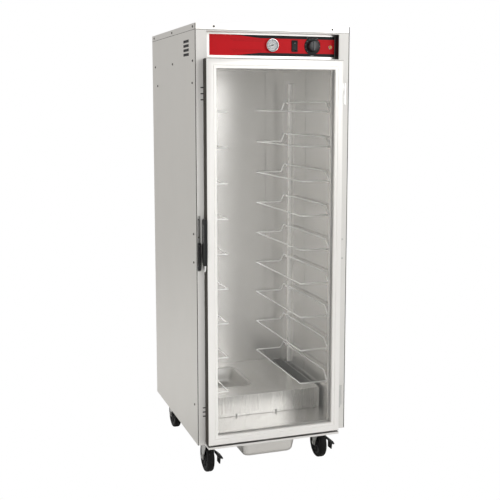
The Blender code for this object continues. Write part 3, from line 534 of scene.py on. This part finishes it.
def make_shell():
    """Outer sheets with painted shadow in their seams, vents with painted shade in their slots, screws, and the
    plugs in the spare hinge holes.
    """
    dressed("left_side_panel", "panel", 0.0006)
    dressed("right_side_panel", "panel", 0.0006)
    dressed("back_panel", "panel", 0.0005)
    dressed("top_cap", "cap", 0.0011, 3)
    dressed("front_frame", "front", 0.0006)
    dressed("base_frame", "zinc", 0.0006)
    # Dark strips of painted shadow for the gaps: up the body's front corners, along the sides and across the
    # front at the cap's lower edge.
    seams = []
    for side in (-1, 1):
        edge, face = side * (SIDE - SHEET), side * SIDE
        seams.append(((edge - 0.0014, -0.0005, 0.001), (edge + 0.0014, 0.0030, HEIGHT - 0.0008)))
        seams.append(((face - 0.0004, 0.0010, CAP_SEAM - 0.0009),
                      (face + 0.0004, DEPTH - 0.001, CAP_SEAM + 0.0004)))
    seams.append(((-SIDE + 0.001, -0.0004, CAP_SEAM - 0.0009), (SIDE - 0.001, 0.0006, CAP_SEAM + 0.0003)))
    blocks("shell_seam_shadows", "seam", "cabinet", seams)
    for side, name in ((-1, "left"), (1, "right")):
        face = side * SIDE
        proud, rim, foot = side * 0.0006, 0.0012, 0.0021
        # The slots' walls and lips are black, and a black sheet stands behind them: painted shade for the dark
        # louvre openings.
        builder = bmesh.new()
        for middle in SLOT_ROWS:
            low, high = middle - SLOT_HALF, middle + SLOT_HALF
            add_frame(builder, [
                (SLOT_LOW, low, SLOT_HIGH, high, face - proud),
                (SLOT_LOW, low, SLOT_HIGH, high, face + proud),
                (SLOT_LOW - rim, low - rim, SLOT_HIGH + rim, high + rim, face + proud),
                (SLOT_LOW - foot, low - foot, SLOT_HIGH + foot, high + foot, face),
            ], "X")
        piece(builder, name + "_vent_shade_rims", "ink", "cabinet")
        near, far = sorted((face - side * 0.0018, face - side * 0.0028))
        shade_sheet = ((near, SLOT_LOW - 0.004, SLOT_ROWS[-1] - 0.010),
                  (far, SLOT_HIGH + 0.004, SLOT_ROWS[0] + 0.010))
        blocks(name + "_vent_shade_sheet", "ink", "cabinet", [shade_sheet])
        outward = LEFT * -side
        places = [(at(face, y, z), outward) for y, z in PANEL_SCREWS]
        screws(name + "_panel_screws", "seam", "cabinet", places, 0.0046)
    screws("cap_screws", "seam", "cabinet", [(at(x, 0, 1.650), FORWARD) for x in (-0.245, 0.245)], 0.0044)
    screws("stile_screws", "zinc", "cabinet", [(at(0.301, 0, z), FORWARD) for z in (0.808, 0.729)], 0.0040)
    rows = [0.05 + 0.255 * i for i in range(7)]
    rear = [(at(x, PANEL_BACK, z), BACK) for x in (-0.300, 0.300) for z in rows]
    rear += [(at(x, PANEL_BACK, z), BACK) for x in (-0.1, 0.1) for z in (0.020, 1.610)]
    screws("rear_screws", "zinc", "cabinet", rear, 0.0040)
    builder = bmesh.new()
    for z in PLUG_ROWS:
        add_block(builder, (-0.2992, -0.0009, z - 0.0021), (-0.2870, 0.0006, z + 0.0021))
    piece(builder, "hinge_hole_plugs", "ink", "cabinet", 0.0008, 3)


def make_inlet():
    """Shrouded power socket in the back, with three blades."""
    x0, x1, z0, z1 = 0.182, 0.230, 1.562, 1.588
    sections = ((0.0012, -0.019), (0.0012, 0.0008), (-0.008, 0.0008), (-0.009, 0.0001), (0, 0.0001),
                (0.0002, -0.019))
    builder = bmesh.new()
    add_frame(builder, [(x0 + inset, z0 + inset, x1 - inset, z1 - inset, DEPTH + rise)
                        for inset, rise in sections])
    add_block(builder, (x0 + 0.0003, DEPTH - 0.0198, z0 + 0.0003), (x1 - 0.0003, DEPTH - 0.0186, z1 - 0.0003))
    piece(builder, "inlet_shroud", "black", "cabinet")
    middle_x, middle_z = (x0 + x1) / 2, (z0 + z1) / 2
    places = ((middle_x - 0.009, middle_z), (middle_x + 0.009, middle_z), (middle_x, middle_z + 0.005))
    pins = [((x - 0.0010, DEPTH - 0.0190, z - 0.0022), (x + 0.0010, DEPTH - 0.0040, z + 0.0022))
            for x, z in places]
    blocks("inlet_pins", "zinc", "cabinet", pins, 0.0003)
    screws("inlet_screws", "zinc", "cabinet",
           [(at(x, DEPTH + 0.0008, middle_z), BACK) for x in (x0 - 0.0045, x1 + 0.0045)], 0.0026)


# ---------------------------------------------------------------- controls

LABEL_LOW, LABEL_HIGH, LABEL_RIGHT, LABEL_FRONT = 1.545, 1.625, 0.271, 0.0380
GAUGE = at(0.003, LABEL_FRONT, 1.5865)
SWITCH_X, SWITCH_Z = 0.099, 1.5855
KNOB_X, KNOB_Z = 0.175, 1.5865
LAMP = at(0.253, LABEL_FRONT, 1.5840)
BAND, BAND_START, BAND_FULL = 0.012, -0.180, -0.045
SWEEP_START = -135  # degrees from straight up, for the gauge's scale and the knob's


def dots(builder, centre, radius, angles, size, thick, long=None):
    """Marks round a centre, on a plane that faces forward. Angles run clockwise from straight up."""
    for degrees in angles:
        angle = math.radians(degrees)
        spoke = Vector((math.sin(angle), 0, math.cos(angle)))
        turn = Matrix.Translation(centre + spoke * radius) @ Matrix.Rotation(angle, 4, "Y")
        turn = turn @ Matrix.Diagonal((size, thick, long or size, 1))
        bmesh.ops.create_cube(builder, size=1.0, matrix=turn)


def make_label():
    """Red overlay with tapered bands, streaks and the knob's marks, and the housing behind it."""
    dressed("control_overlay", "red", 0.0003)
    front, sunk = LABEL_FRONT - 0.00015, LABEL_FRONT + 0.0002
    builder = bmesh.new()
    for edge, band in ((LABEL_HIGH, -BAND), (LABEL_LOW, BAND)):
        outline = [(BAND_START, edge), (BAND_START + 0.045, edge + band * 0.20),
                   (BAND_START + 0.090, edge + band * 0.62), (BAND_FULL, edge + band),
                   (LABEL_RIGHT, edge + band), (LABEL_RIGHT, edge)]
        add_prism(builder, outline, "Y", front, sunk)
    piece(builder, "label_bands", "ink", "cabinet")
    streaks = []
    for i, z in enumerate((1.6090, 1.6050, 1.6010, 1.5690, 1.5650, 1.5610)):
        start, end = BAND_START + 0.010 + 0.006 * (i % 3), -0.036 + 0.004 * (i % 2)
        streaks.append(((start, front, z - 0.00035), (end, sunk, z + 0.00035)))
    blocks("label_streaks", "deep_red", "cabinet", streaks)
    builder = bmesh.new()
    knob_face = at(KNOB_X, front - 0.0001, KNOB_Z)
    dots(builder, knob_face, 0.0385, (-34, -22, -11, 0, 11, 22, 34), 0.0016, 0.0003)
    dots(builder, knob_face, 0.0375, (180,), 0.0130, 0.0003, 0.0012)
    piece(builder, "label_marks", "white", "cabinet")
    dressed("control_housing", "header", 0.0005)
    # Black sheet on the recess's right wall: painted shade and painted dark reflection.
    blocks("recess_wall_shade", "ink", "cabinet", [((0.2738, 0.0035, 1.5345), (0.2746, 0.0388, 1.6315))])


def make_gauge():
    """Dial thermometer: bezel, dial with its scale and rings, lens, and the pointer on its own body."""
    bezel = [(0.0216, -0.0070), (0.0226, -0.0108), (0.0236, -0.0118), (0.0248, -0.0116), (0.0255, -0.0102),
             (0.0255, -0.0006), (0.0200, -0.0003), (0.0200, 0.0320), (0.0160, 0.0320), (0.0160, -0.0066)]
    case = lathe("gauge_bezel", "chrome", "cabinet", bezel, GAUGE, BACK, 64)
    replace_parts(case, "thermometer_case")
    plate = [(0, -0.0070), (0.0222, -0.0070), (0.0222, -0.0062), (0, -0.0062)]
    lathe("gauge_dial", "dial", "cabinet", plate, GAUGE, BACK, 64)
    builder = bmesh.new()
    face = GAUGE + FORWARD * 0.0071
    dots(builder, face, 0.0182, [SWEEP_START + 13.5 * i for i in range(21)], 0.0008, 0.0002, 0.0026)
    dots(builder, face, 0.0174, [SWEEP_START + 67.5 * i for i in range(5)], 0.0015, 0.0002, 0.0048)
    piece(builder, "gauge_scale", "ink", "cabinet")
    for name, near, far in (("gauge_ring", 0.0200, 0.0218), ("gauge_inner_ring", 0.0118, 0.0128)):
        ring = [(near, -0.0073), (far, -0.0073), (far, -0.0069), (near, -0.0069)]
        lathe(name, "scale", "cabinet", ring, GAUGE, BACK, 64)
    lens = [(0, -0.0114), (0.0120, -0.0112), (0.0224, -0.0104), (0.0224, -0.0100), (0, -0.0106)]
    lathe("gauge_lens", "glass", "cabinet", lens, GAUGE, BACK, 48)
    needle = [(-0.0062, -0.0013), (0.0155, -0.0007), (0.0180, 0.0), (0.0155, 0.0007), (-0.0062, 0.0013)]
    builder = bmesh.new()
    tilt = Matrix.Rotation(math.radians(-16), 3, "Y")
    rings = [[GAUGE + tilt @ Vector((-a, depth, b)) for a, b in needle] for depth in (-0.0086, -0.0080)]
    add_skin(builder, rings, capped=True)
    hub = [(0, -0.0096), (0.0016, -0.0094), (0.0024, -0.0088), (0.0024, -0.0076), (0, -0.0076)]
    add_lathe(builder, hub, GAUGE, BACK, 20)
    pointer = piece(builder, "gauge_pointer", "ink", "needle")
    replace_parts(pointer, "thermometer_needle")


def make_switch():
    """Bezel of half-widths, half-heights and depths round the opening, and the rocker's bent face."""
    sections = [(0.0126, 0.0226, 0.0379), (0.0126, 0.0226, 0.0352), (0.0118, 0.0218, 0.0342),
                (0.0096, 0.0192, 0.0342), (0.0090, 0.0186, 0.0350), (0.0090, 0.0186, 0.0570),
                (0.0092, 0.0188, 0.0570), (0.0092, 0.0188, 0.0348), (0.0112, 0.0212, 0.0348),
                (0.0112, 0.0212, 0.0379)]
    builder = bmesh.new()
    add_frame(builder, [(SWITCH_X - half_x, SWITCH_Z - half_z, SWITCH_X + half_x, SWITCH_Z + half_z, depth)
                        for half_x, half_z, depth in sections])
    piece(builder, "switch_bezel", "black", "cabinet")
    face = [(0.0332, -0.0172), (0.0341, -0.0120), (0.0348, -0.0060), (0.0350, 0.0), (0.0348, 0.0060),
            (0.0341, 0.0120), (0.0332, 0.0172), (0.0480, 0.0120), (0.0480, -0.0120)]
    outline = [(y, SWITCH_Z + z) for y, z in face]
    builder = bmesh.new()
    add_prism(builder, outline, "X", SWITCH_X - 0.0086, SWITCH_X + 0.0086)
    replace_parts(piece(builder, "rocker_cap", "black", "rocker", 0.0004), "rocker_switch")
    blocks("rocker_mark", "white", "rocker",
           [((SWITCH_X - 0.0004, 0.0334, SWITCH_Z + 0.0095), (SWITCH_X + 0.0004, 0.0345, SWITCH_Z + 0.0135))])


def make_knob():
    """Skirt with a scale, fluted grip, and a bar with a pointer line."""
    centre = at(KNOB_X, LABEL_FRONT, KNOB_Z)
    skirt = [(0, -0.0046), (0.0240, -0.0044), (0.0330, -0.0032), (0.0340, -0.0022), (0.0340, -0.0004),
             (0.0030, -0.0004), (0.0030, 0.0200), (0, 0.0200)]
    base = lathe("knob_skirt", "black", "knob", skirt, centre, BACK, 64)
    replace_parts(base, "thermostat_knob")
    rings = []
    flutes, flute_depth, points = 16, 0.0009, 144
    grip = ((0.0226, -0.0040), (0.0224, -0.0120), (0.0214, -0.0195), (0.0203, -0.0215), (0.0188, -0.0222))
    for radius, along in grip:
        ring = []
        for i in range(points):
            angle = math.tau * i / points
            reach = radius + flute_depth * math.cos(flutes * angle)
            ring.append(centre + Vector((math.cos(angle) * reach, along, math.sin(angle) * reach)))
        rings.append(ring)
    builder = bmesh.new()
    add_skin(builder, rings, capped=True)
    piece(builder, "knob_grip", "knob", "knob")
    bar = ((KNOB_X - 0.0035, LABEL_FRONT - 0.0250, KNOB_Z - 0.0180),
           (KNOB_X + 0.0035, LABEL_FRONT - 0.0215, KNOB_Z + 0.0180))
    blocks("knob_bar", "knob", "knob", [bar], 0.0010, 3)
    builder = bmesh.new()
    dots(builder, at(KNOB_X, LABEL_FRONT - 0.0042, KNOB_Z), 0.0278, (90,), 0.0014, 0.0006, 0.0070)
    scale = [SWEEP_START + 27 * i for i in range(8)]
    dots(builder, at(KNOB_X, LABEL_FRONT - 0.0040, KNOB_Z), 0.0300, scale, 0.0008, 0.0006, 0.0028)
    piece(builder, "knob_marks", "white", "knob")


def make_lamp():
    """Amber dome in a bright collar."""
    dome = [(0, -0.0066), (0.0022, -0.0062), (0.0042, -0.0048), (0.0053, -0.0026), (0.0055, -0.0003),
            (0.0040, -0.0003), (0.0040, 0.0180), (0, 0.0180)]
    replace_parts(lathe("lamp_lens", "amber", "cabinet", dome, LAMP, BACK, 32), "indicator_lamp")
    collar = [(0.0058, -0.0002), (0.0058, -0.0022), (0.0066, -0.0026), (0.0078, -0.0014), (0.0080, -0.0002)]
    lathe("lamp_collar", "chrome", "cabinet", collar, LAMP, BACK, 32)


# ---------------------------------------------------------------- door

DOOR = (-0.290, 0.012, 0.273, 1.528)
WINDOW = (-0.250, 0.0485, 0.239, 1.4915)
HINGE_X, HINGE_Y = 0.281, -0.030
HINGE_TOPS = (1.440, 0.188)


def outer(inset, y):
    """Rectangle that far inside the door's edge."""
    return (DOOR[0] + inset, DOOR[1] + inset, DOOR[2] - inset, DOOR[3] - inset, y)


def inner(offset, y):
    """Rectangle that far outside the window's edge."""
    return (WINDOW[0] - offset, WINDOW[1] - offset, WINDOW[2] + offset, WINDOW[3] + offset, y)


def make_door():
    """Frame with its groove for the glass, dark strips on its edges, seals, and the hinges' leaves, knuckles
    and screws.
    """
    builder = bmesh.new()
    add_frame(builder, [
        outer(0, -0.0138), outer(0, -0.0474), outer(0.0006, -0.0490), outer(0.0022, -0.0500),
        inner(0.0132, -0.0500), inner(0.0124, -0.0478), inner(0.0112, -0.0478), inner(0.0104, -0.0499),
        inner(0.0020, -0.0499), inner(0.0006, -0.0493), inner(0, -0.0478), inner(0, -0.0334),
        inner(0.0080, -0.0334), inner(0.0080, -0.0266), inner(0, -0.0266), inner(0, -0.0150),
        inner(0.0012, -0.0138)])
    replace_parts(piece(builder, "door_frame_profile", "frame", "door"), "door_frame")
    x0, z0, x1, z1 = DOOR
    # Strips in the gasket's dark colour over the door's left, top and bottom edge faces.
    edge_strips = [((x0 - 0.0006, -0.0488, z0), (x0 + 0.0004, -0.0142, z1)),
            ((x0, -0.0488, z1 - 0.0004), (x1, -0.0142, z1 + 0.0006)),
            ((x0, -0.0488, z0 - 0.0006), (x1, -0.0142, z0 + 0.0004))]
    blocks("door_edge_dark_strips", "gasket", "door", edge_strips)
    builder = bmesh.new()
    for edge, slope, face in ((-0.0395, -0.0380, -0.0333), (-0.0205, -0.0220, -0.0267)):
        section = ((0.0002, edge), (-0.0016, slope), (-0.0016, face), (0.0002, face))
        add_frame(builder, [inner(offset, y) for offset, y in section])
    piece(builder, "glazing_seal", "seal", "door")
    section = [(0.0004, -0.0137), (0.0004, -0.0040), (0.0022, -0.0014), (0.0070, -0.0003), (0.0110, -0.0010),
               (0.0130, -0.0034), (0.0150, -0.0010), (0.0180, -0.0003), (0.0210, -0.0014), (0.0220, -0.0040),
               (0.0220, -0.0137)]
    builder = bmesh.new()
    add_frame(builder, [outer(inset, y) for inset, y in section])
    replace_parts(piece(builder, "door_seal", "gasket", "door"), "door_gasket")
    barrel = [(0.0034, -0.040), (0.0058, -0.040), (0.0062, -0.0394), (0.0062, -0.0006), (0.0058, 0),
              (0.0034, 0)]
    leaves = bmesh.new()
    knuckles = bmesh.new()
    places = []
    for top in HINGE_TOPS:
        add_block(leaves, (0.2726, -0.046, top - 0.040), (0.2762, -0.016, top))
        add_lathe(knuckles, barrel, at(HINGE_X, HINGE_Y, top), UP, 32)
        places += [(at(0.2762, -0.0400, top - drop), RIGHT) for drop in (0.010, 0.030)]
    piece(leaves, "door_hinge_leaves", "zinc", "door", 0.0006)
    piece(knuckles, "door_hinge_knuckles", "zinc", "door")
    screws("door_hinge_screws", "zinc", "door", places, 0.0026)
    cap = [(0, 0.0026), (0.0030, 0.0022), (0.0046, 0.0004), (0.0046, 0.0001), (0, 0.0001)]
    for name, top in zip(("upper_hinge", "lower_hinge"), HINGE_TOPS):
        dressed(name, "zinc", 0.0005)
        screws(name + "_screws", "zinc", "cabinet",
               [(at(0.2955, -0.0030, top - 0.084 + rise), FORWARD) for rise in (0.012, 0.042, 0.072)], 0.0036)
        lathe(name + "_pin_cap", "zinc", "door", cap, at(HINGE_X, HINGE_Y, top), UP, 24)


def make_handle():
    """Upright grip with a bright latch tip below it, and the strike it closes on."""
    inner_face = DOOR[0] - 0.0010

    def loft(name, material, stations):
        rings = []
        for z, thick, back, front in stations:
            middle = (inner_face - thick / 2, (back + front) / 2)
            radius = min(0.0042, thick * 0.46, (back - front) * 0.46)
            rings.append(rounded_rectangle(middle, thick / 2, (back - front) / 2, radius, z, 5))
        builder = bmesh.new()
        add_skin(builder, rings, capped=True)
        return piece(builder, name, material, "handle")

    grip = loft("handle_grip", "black", [
        (0.7370, 0.0088, -0.0190, -0.0465), (0.7385, 0.0100, -0.0172, -0.0492),
        (0.7480, 0.0114, -0.0160, -0.0530), (0.7700, 0.0122, -0.0156, -0.0566),
        (0.7980, 0.0125, -0.0155, -0.0580), (0.8500, 0.0121, -0.0155, -0.0576),
        (0.9020, 0.0125, -0.0155, -0.0580), (0.9120, 0.0120, -0.0160, -0.0572),
        (0.9165, 0.0104, -0.0174, -0.0552), (0.9180, 0.0084, -0.0192, -0.0530)])
    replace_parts(grip, "door_handle")
    loft("handle_tip", "chrome", [
        (0.7110, 0.0050, -0.0265, -0.0365), (0.7122, 0.0066, -0.0235, -0.0395),
        (0.7170, 0.0080, -0.0200, -0.0430), (0.7300, 0.0090, -0.0182, -0.0455),
        (0.7369, 0.0094, -0.0178, -0.0470)])
    blocks("handle_inlay", "knob", "handle", [((-0.3036, -0.0500, 0.826), (-0.3029, -0.0260, 0.896))], 0.0003)
    builder = bmesh.new()
    add_block(builder, (-0.3180, -0.0033, 0.708), (-0.3050, -0.0003, 0.928))
    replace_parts(piece(builder, "strike_plate", "zinc", "cabinet", 0.0006), "latch_strike")
    places = [(at(-0.3115, -0.0033, z), FORWARD) for z in (0.844, 0.914)]
    screws("strike_screws", "seam", "cabinet", places, 0.0030)
    outline = [(-0.0034, 0.712), (-0.0120, 0.7145), (-0.0170, 0.726), (-0.0190, 0.765), (-0.0170, 0.808),
               (-0.0120, 0.8195), (-0.0034, 0.822), (-0.0034, 0.806), (-0.0115, 0.804), (-0.0140, 0.796),
               (-0.0150, 0.765), (-0.0140, 0.738), (-0.0115, 0.730), (-0.0034, 0.728)]
    builder = bmesh.new()
    add_prism(builder, outline, "X", -0.3160, -0.3055)
    piece(builder, "strike_keeper", "paint", "cabinet", 0.0007)
    knob = [(0, -0.0245), (0.0030, -0.0242), (0.0046, -0.0225), (0.0046, -0.0165), (0, -0.0165)]
    lathe("strike_roller", "paint", "cabinet", knob, at(-0.3107, 0, 0.812), BACK, 24)


# ---------------------------------------------------------------- cavity

LEVELS = [1.328 - 0.1437 * i for i in range(9)]
SLIDE_INNER, SLIDE_OUTER = 0.160, 0.284
SLIDE_FRONT, SLIDE_BACK = 0.100, 0.670
RISE, LEAN = 0.038, 0.038
SLIDE_CORNERS = ((SLIDE_INNER, SLIDE_FRONT, 0), (SLIDE_OUTER, SLIDE_FRONT, 0),
                 (SLIDE_OUTER, SLIDE_FRONT + LEAN, RISE), (SLIDE_OUTER, SLIDE_BACK - LEAN, RISE),
                 (SLIDE_OUTER, SLIDE_BACK, 0), (SLIDE_INNER, SLIDE_BACK, 0))
WIRE_BEND, WIRE_RADIUS = 0.0070, 0.0031
UPRIGHT_ROWS = (("front", 0.101), ("rear", 0.5825))
LINER_LOW, LINER_HIGH = 0.032, 1.509
LINER_BACK, LINER_SIDE = 0.6885, 0.300


def make_cavity():
    """Liner with its seams, and on each side two uprights on studs, their slots painted as black marks of
    shade, with nine wire slides.
    """
    dressed("interior_liner", "liner", 0.0012)
    lines = [((x - 0.0006, LINER_BACK - 0.0004, LINER_LOW), (x + 0.0006, LINER_BACK + 0.0002, LINER_HIGH))
             for x in (-0.211, 0.211)]
    lines += [((x - 0.0004, 0.4044, LINER_LOW), (x + 0.0004, 0.4056, LINER_HIGH))
              for x in (-LINER_SIDE, LINER_SIDE)]
    blocks("liner_seams", "seam", "cabinet", lines)
    stud = [(0, 0.0016), (0.0036, 0.0012), (0.0040, 0.0004), (0.0040, -0.0110), (0, -0.0110)]
    for side_name, sign in (("left", -1), ("right", 1)):
        slot_shades = []
        studs = bmesh.new()
        for row, y in UPRIGHT_ROWS:
            dressed(f"{side_name}_{row}_upright", "rail", 0.0004)
            x0, x1 = sorted((sign * 0.28785, sign * 0.2884))
            # Black marks where the slots are: painted shade for the openings.
            slot_shades += [((x0, y - 0.0018, level + 0.058), (x1, y + 0.0018, level + 0.074)) for level in LEVELS]
            for z in (0.240, 1.400):
                add_lathe(studs, stud, at(sign * 0.2880, y, z), RIGHT * -sign, 20)
        blocks(side_name + "_upright_slots", "ink", side_name + "_rack", slot_shades)
        piece(studs, side_name + "_upright_studs", "zinc", "cabinet")
        for number, level in enumerate(LEVELS, start=1):
            corners = [at(sign * x, y, level + rise) for x, y, rise in SLIDE_CORNERS]
            node = f"{side_name}_slide_{number}"
            builder = bmesh.new()
            add_loop(builder, rounded_path(corners, WIRE_BEND), WIRE_RADIUS, 12)
            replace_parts(piece(builder, node + "_wire", "wire", NODES[node]["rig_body"]), node)


def make_pan(node, name, depth, material="pan"):
    """Deep-drawn pan with a round foot and a rolled bead on its rim, in the CAD pan's box."""
    low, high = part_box(node)
    centre = ((low.x + high.x) / 2, (low.y + high.y) / 2 - FRONT_Y)
    rim_top = high.z - BOTTOM_Z
    wall, slope, rim, bend = 0.0012, 0.010, 0.0115, 0.020
    bottom = rim_top - depth
    body_x, body_y = (high.x - low.x) / 2 - rim, (high.y - low.y) / 2 - rim

    def ring(inset, z):
        radius = max(0.012, 0.034 - (inset + rim) * 0.45)
        return rounded_rectangle(centre, body_x - inset, body_y - inset, radius, z)

    def foot(thickness):
        """Quarter bend from the wall into the bottom, from the wall down."""
        turns = [math.radians(90 * step / 6) for step in range(7)]
        return [ring(slope + thickness + bend * (1 - math.cos(turn)),
                     bottom + thickness + bend * (1 - math.sin(turn))) for turn in turns]

    inside = list(reversed(foot(wall)))
    lip = [ring(inset, rim_top - drop) for inset, drop in (
        (wall, 0.0030), (0.0002, 0.0008), (-0.0015, 0), (0.0035 - rim, 0.0002), (0.0020 - rim, 0),
        (0.0008 - rim, 0.0002), (-rim, 0.0009), (0.0006 - rim, wall), (-0.0010, wall), (0.0006, 0.0045))]
    builder = bmesh.new()
    add_skin(builder, inside + lip + foot(0.0), capped=True)
    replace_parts(piece(builder, name, material, NODES[node]["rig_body"]), node)


INTAKE_LEFT, INTAKE_RIGHT = 0.2300, 0.2780
INTAKE_BARS = [0.2690 + 0.0132 * i for i in range(31)]
INTAKE_RIBS = [INTAKE_LEFT + 0.0120 * i for i in range(5)]


def make_heater():
    """Module on the cavity's floor with its hem, screws and intake guard, then the pans, trough and fan."""
    low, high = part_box("heater_module")
    front, top = low.y - FRONT_Y, high.z - BOTTOM_Z
    dressed("heater_module", "module", 0.0008)
    blocks("heater_hem", "module", "cabinet",
           [((low.x + 0.001, front - 0.0010, 0.0325), (high.x - 0.001, front + 0.0005, 0.0440))], 0.0004)
    screws("heater_screws", "zinc", "cabinet",
           [(at(x, front - 0.0010, 0.0385), FORWARD) for x in (-0.275, -0.095, 0.085, 0.265)], 0.0052)
    guard = [((INTAKE_LEFT, y, top + 0.0001), (INTAKE_RIGHT, y + 0.0026, top + 0.0020)) for y in INTAKE_BARS]
    guard += [((x - 0.0020, 0.2680, top + 0.0001), (x + 0.0020, 0.6680, top + 0.0034)) for x in INTAKE_RIBS]
    blocks("intake_guard", "grille", "cabinet", guard)
    make_pan("water_pan", "water_pan_drawn", 0.065)
    make_pan("drip_pan", "drip_pan_drawn", 0.075, "cap")
    dressed("drip_trough", "front", 0.0005)
    dressed("fan_wheel", "zinc", 0.0004, 1)
    dressed("fan_motor", "paint", 0.0010)


# ---------------------------------------------------------------- casters

TYRE_HALF = [(0.0460, 0.0136), (0.0500, 0.0150), (0.0560, 0.0152), (0.0604, 0.0138), (0.0628, 0.0106),
             (0.0635, 0.0060)]
CORE_HALF = [(0.0112, 0.0170), (0.0140, 0.0170), (0.0160, 0.0130), (0.0190, 0.0092), (0.0400, 0.0092),
             (0.0440, 0.0118), (0.0461, 0.0137)]
SLEEVE = [(0.0063, 0.0176), (0.0108, 0.0176), (0.0108, -0.0176), (0.0063, -0.0176)]
BOLT = [(0, -0.0050), (0.0058, -0.0050), (0.0064, -0.0044), (0.0064, 0), (0, 0)]
WHEEL_RADIUS, CASTER_HEIGHT, TRAIL = 0.0635, 0.157, 0.035
CASTER_X, CASTER_ROWS, PLATE_BOLT = 0.250, (("front", 0.075), ("rear", 0.628)), 0.038


def mirrored(half):
    """A wheel's profile from the half on one side of its middle."""
    return half + [(radius, -along) for radius, along in reversed(half)]


def make_casters():
    """Four casters: tyre, ribbed core, sleeve, fork and plate bolts, and a brake pedal on the front two."""
    for row, y in CASTER_ROWS:
        for side_name, sign in (("left", -1), ("right", 1)):
            name = f"{row}_{side_name}"
            x = sign * CASTER_X
            axle = at(x, y + TRAIL, WHEEL_RADIUS - CASTER_HEIGHT)
            tyre = lathe(name + "_tyre", "tyre", name + "_wheel", mirrored(TYRE_HALF), axle, RIGHT, 64)
            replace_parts(tyre, name + "_wheel")
            builder = bmesh.new()
            add_lathe(builder, mirrored(CORE_HALF), axle, RIGHT, 48)
            for rib in range(6):
                turn = Matrix.Translation(axle) @ Matrix.Rotation(math.tau * rib / 6, 4, "X")
                turn = turn @ Matrix.Translation((0, 0, 0.0300))
                turn = turn @ Matrix.Diagonal((0.0236, 0.0030, 0.0280, 1))
                bmesh.ops.create_cube(builder, size=1.0, matrix=turn)
            piece(builder, name + "_core", "core", name + "_wheel")
            lathe(name + "_sleeve", "zinc", name + "_wheel", SLEEVE, axle, RIGHT, 32)
            dressed(name + "_fork", "zinc", 0.0007)
            bolts = bmesh.new()
            for bolt_x in (x - PLATE_BOLT, x + PLATE_BOLT):
                for bolt_y in (y - PLATE_BOLT, y + PLATE_BOLT):
                    add_lathe(bolts, BOLT, at(bolt_x, bolt_y, -0.0038), UP, 6)
            piece(bolts, name + "_plate_bolts", "zinc", "cabinet")
            if row == "front":
                dressed(name + "_brake_pedal", "paint", 0.0012, 3)


def paint_nodes():
    """Give each CAD node the material of the piece it is, whether or not a finer piece stands for it."""
    finishes = {
        "panel": ["left_side_panel", "right_side_panel", "back_panel"],
        "cap": ["top_cap"],
        "front": ["front_frame", "control_housing"],
        "frame": ["door_frame"],
        "liner": ["interior_liner"],
        "rail": ["left_front_upright", "left_rear_upright", "right_front_upright", "right_rear_upright"],
        "module": ["heater_module"],
        "pan": ["drip_pan", "water_pan", "drip_trough"],
        "zinc": ["base_frame", "upper_hinge", "lower_hinge", "latch_strike", "fan_wheel", "front_left_fork",
                 "front_right_fork", "rear_left_fork", "rear_right_fork"],
        "black": ["door_handle", "thermostat_knob", "rocker_switch", "thermometer_needle"],
        "paint": ["heating_element", "fan_motor", "front_left_brake_pedal", "front_right_brake_pedal"],
        "gasket": ["door_gasket"],
        "tyre": ["front_left_wheel", "front_right_wheel", "rear_left_wheel", "rear_right_wheel"],
        "red": ["control_overlay"],
        "dial": ["thermometer_case"],
        "amber": ["indicator_lamp"],
        "glass": ["door_window"],
        "wire": [side + "_slide_" + str(number) for side in ("left", "right") for number in range(1, 10)],
    }
    for material, names in finishes.items():
        for name in names:
            NODES[name].data.materials.clear()
            NODES[name].data.materials.append(MATERIALS[material])


paint_nodes()
make_shell()
make_inlet()
make_label()
make_gauge()
make_switch()
make_knob()
make_lamp()
make_door()
make_handle()
make_cavity()
make_heater()
make_casters()
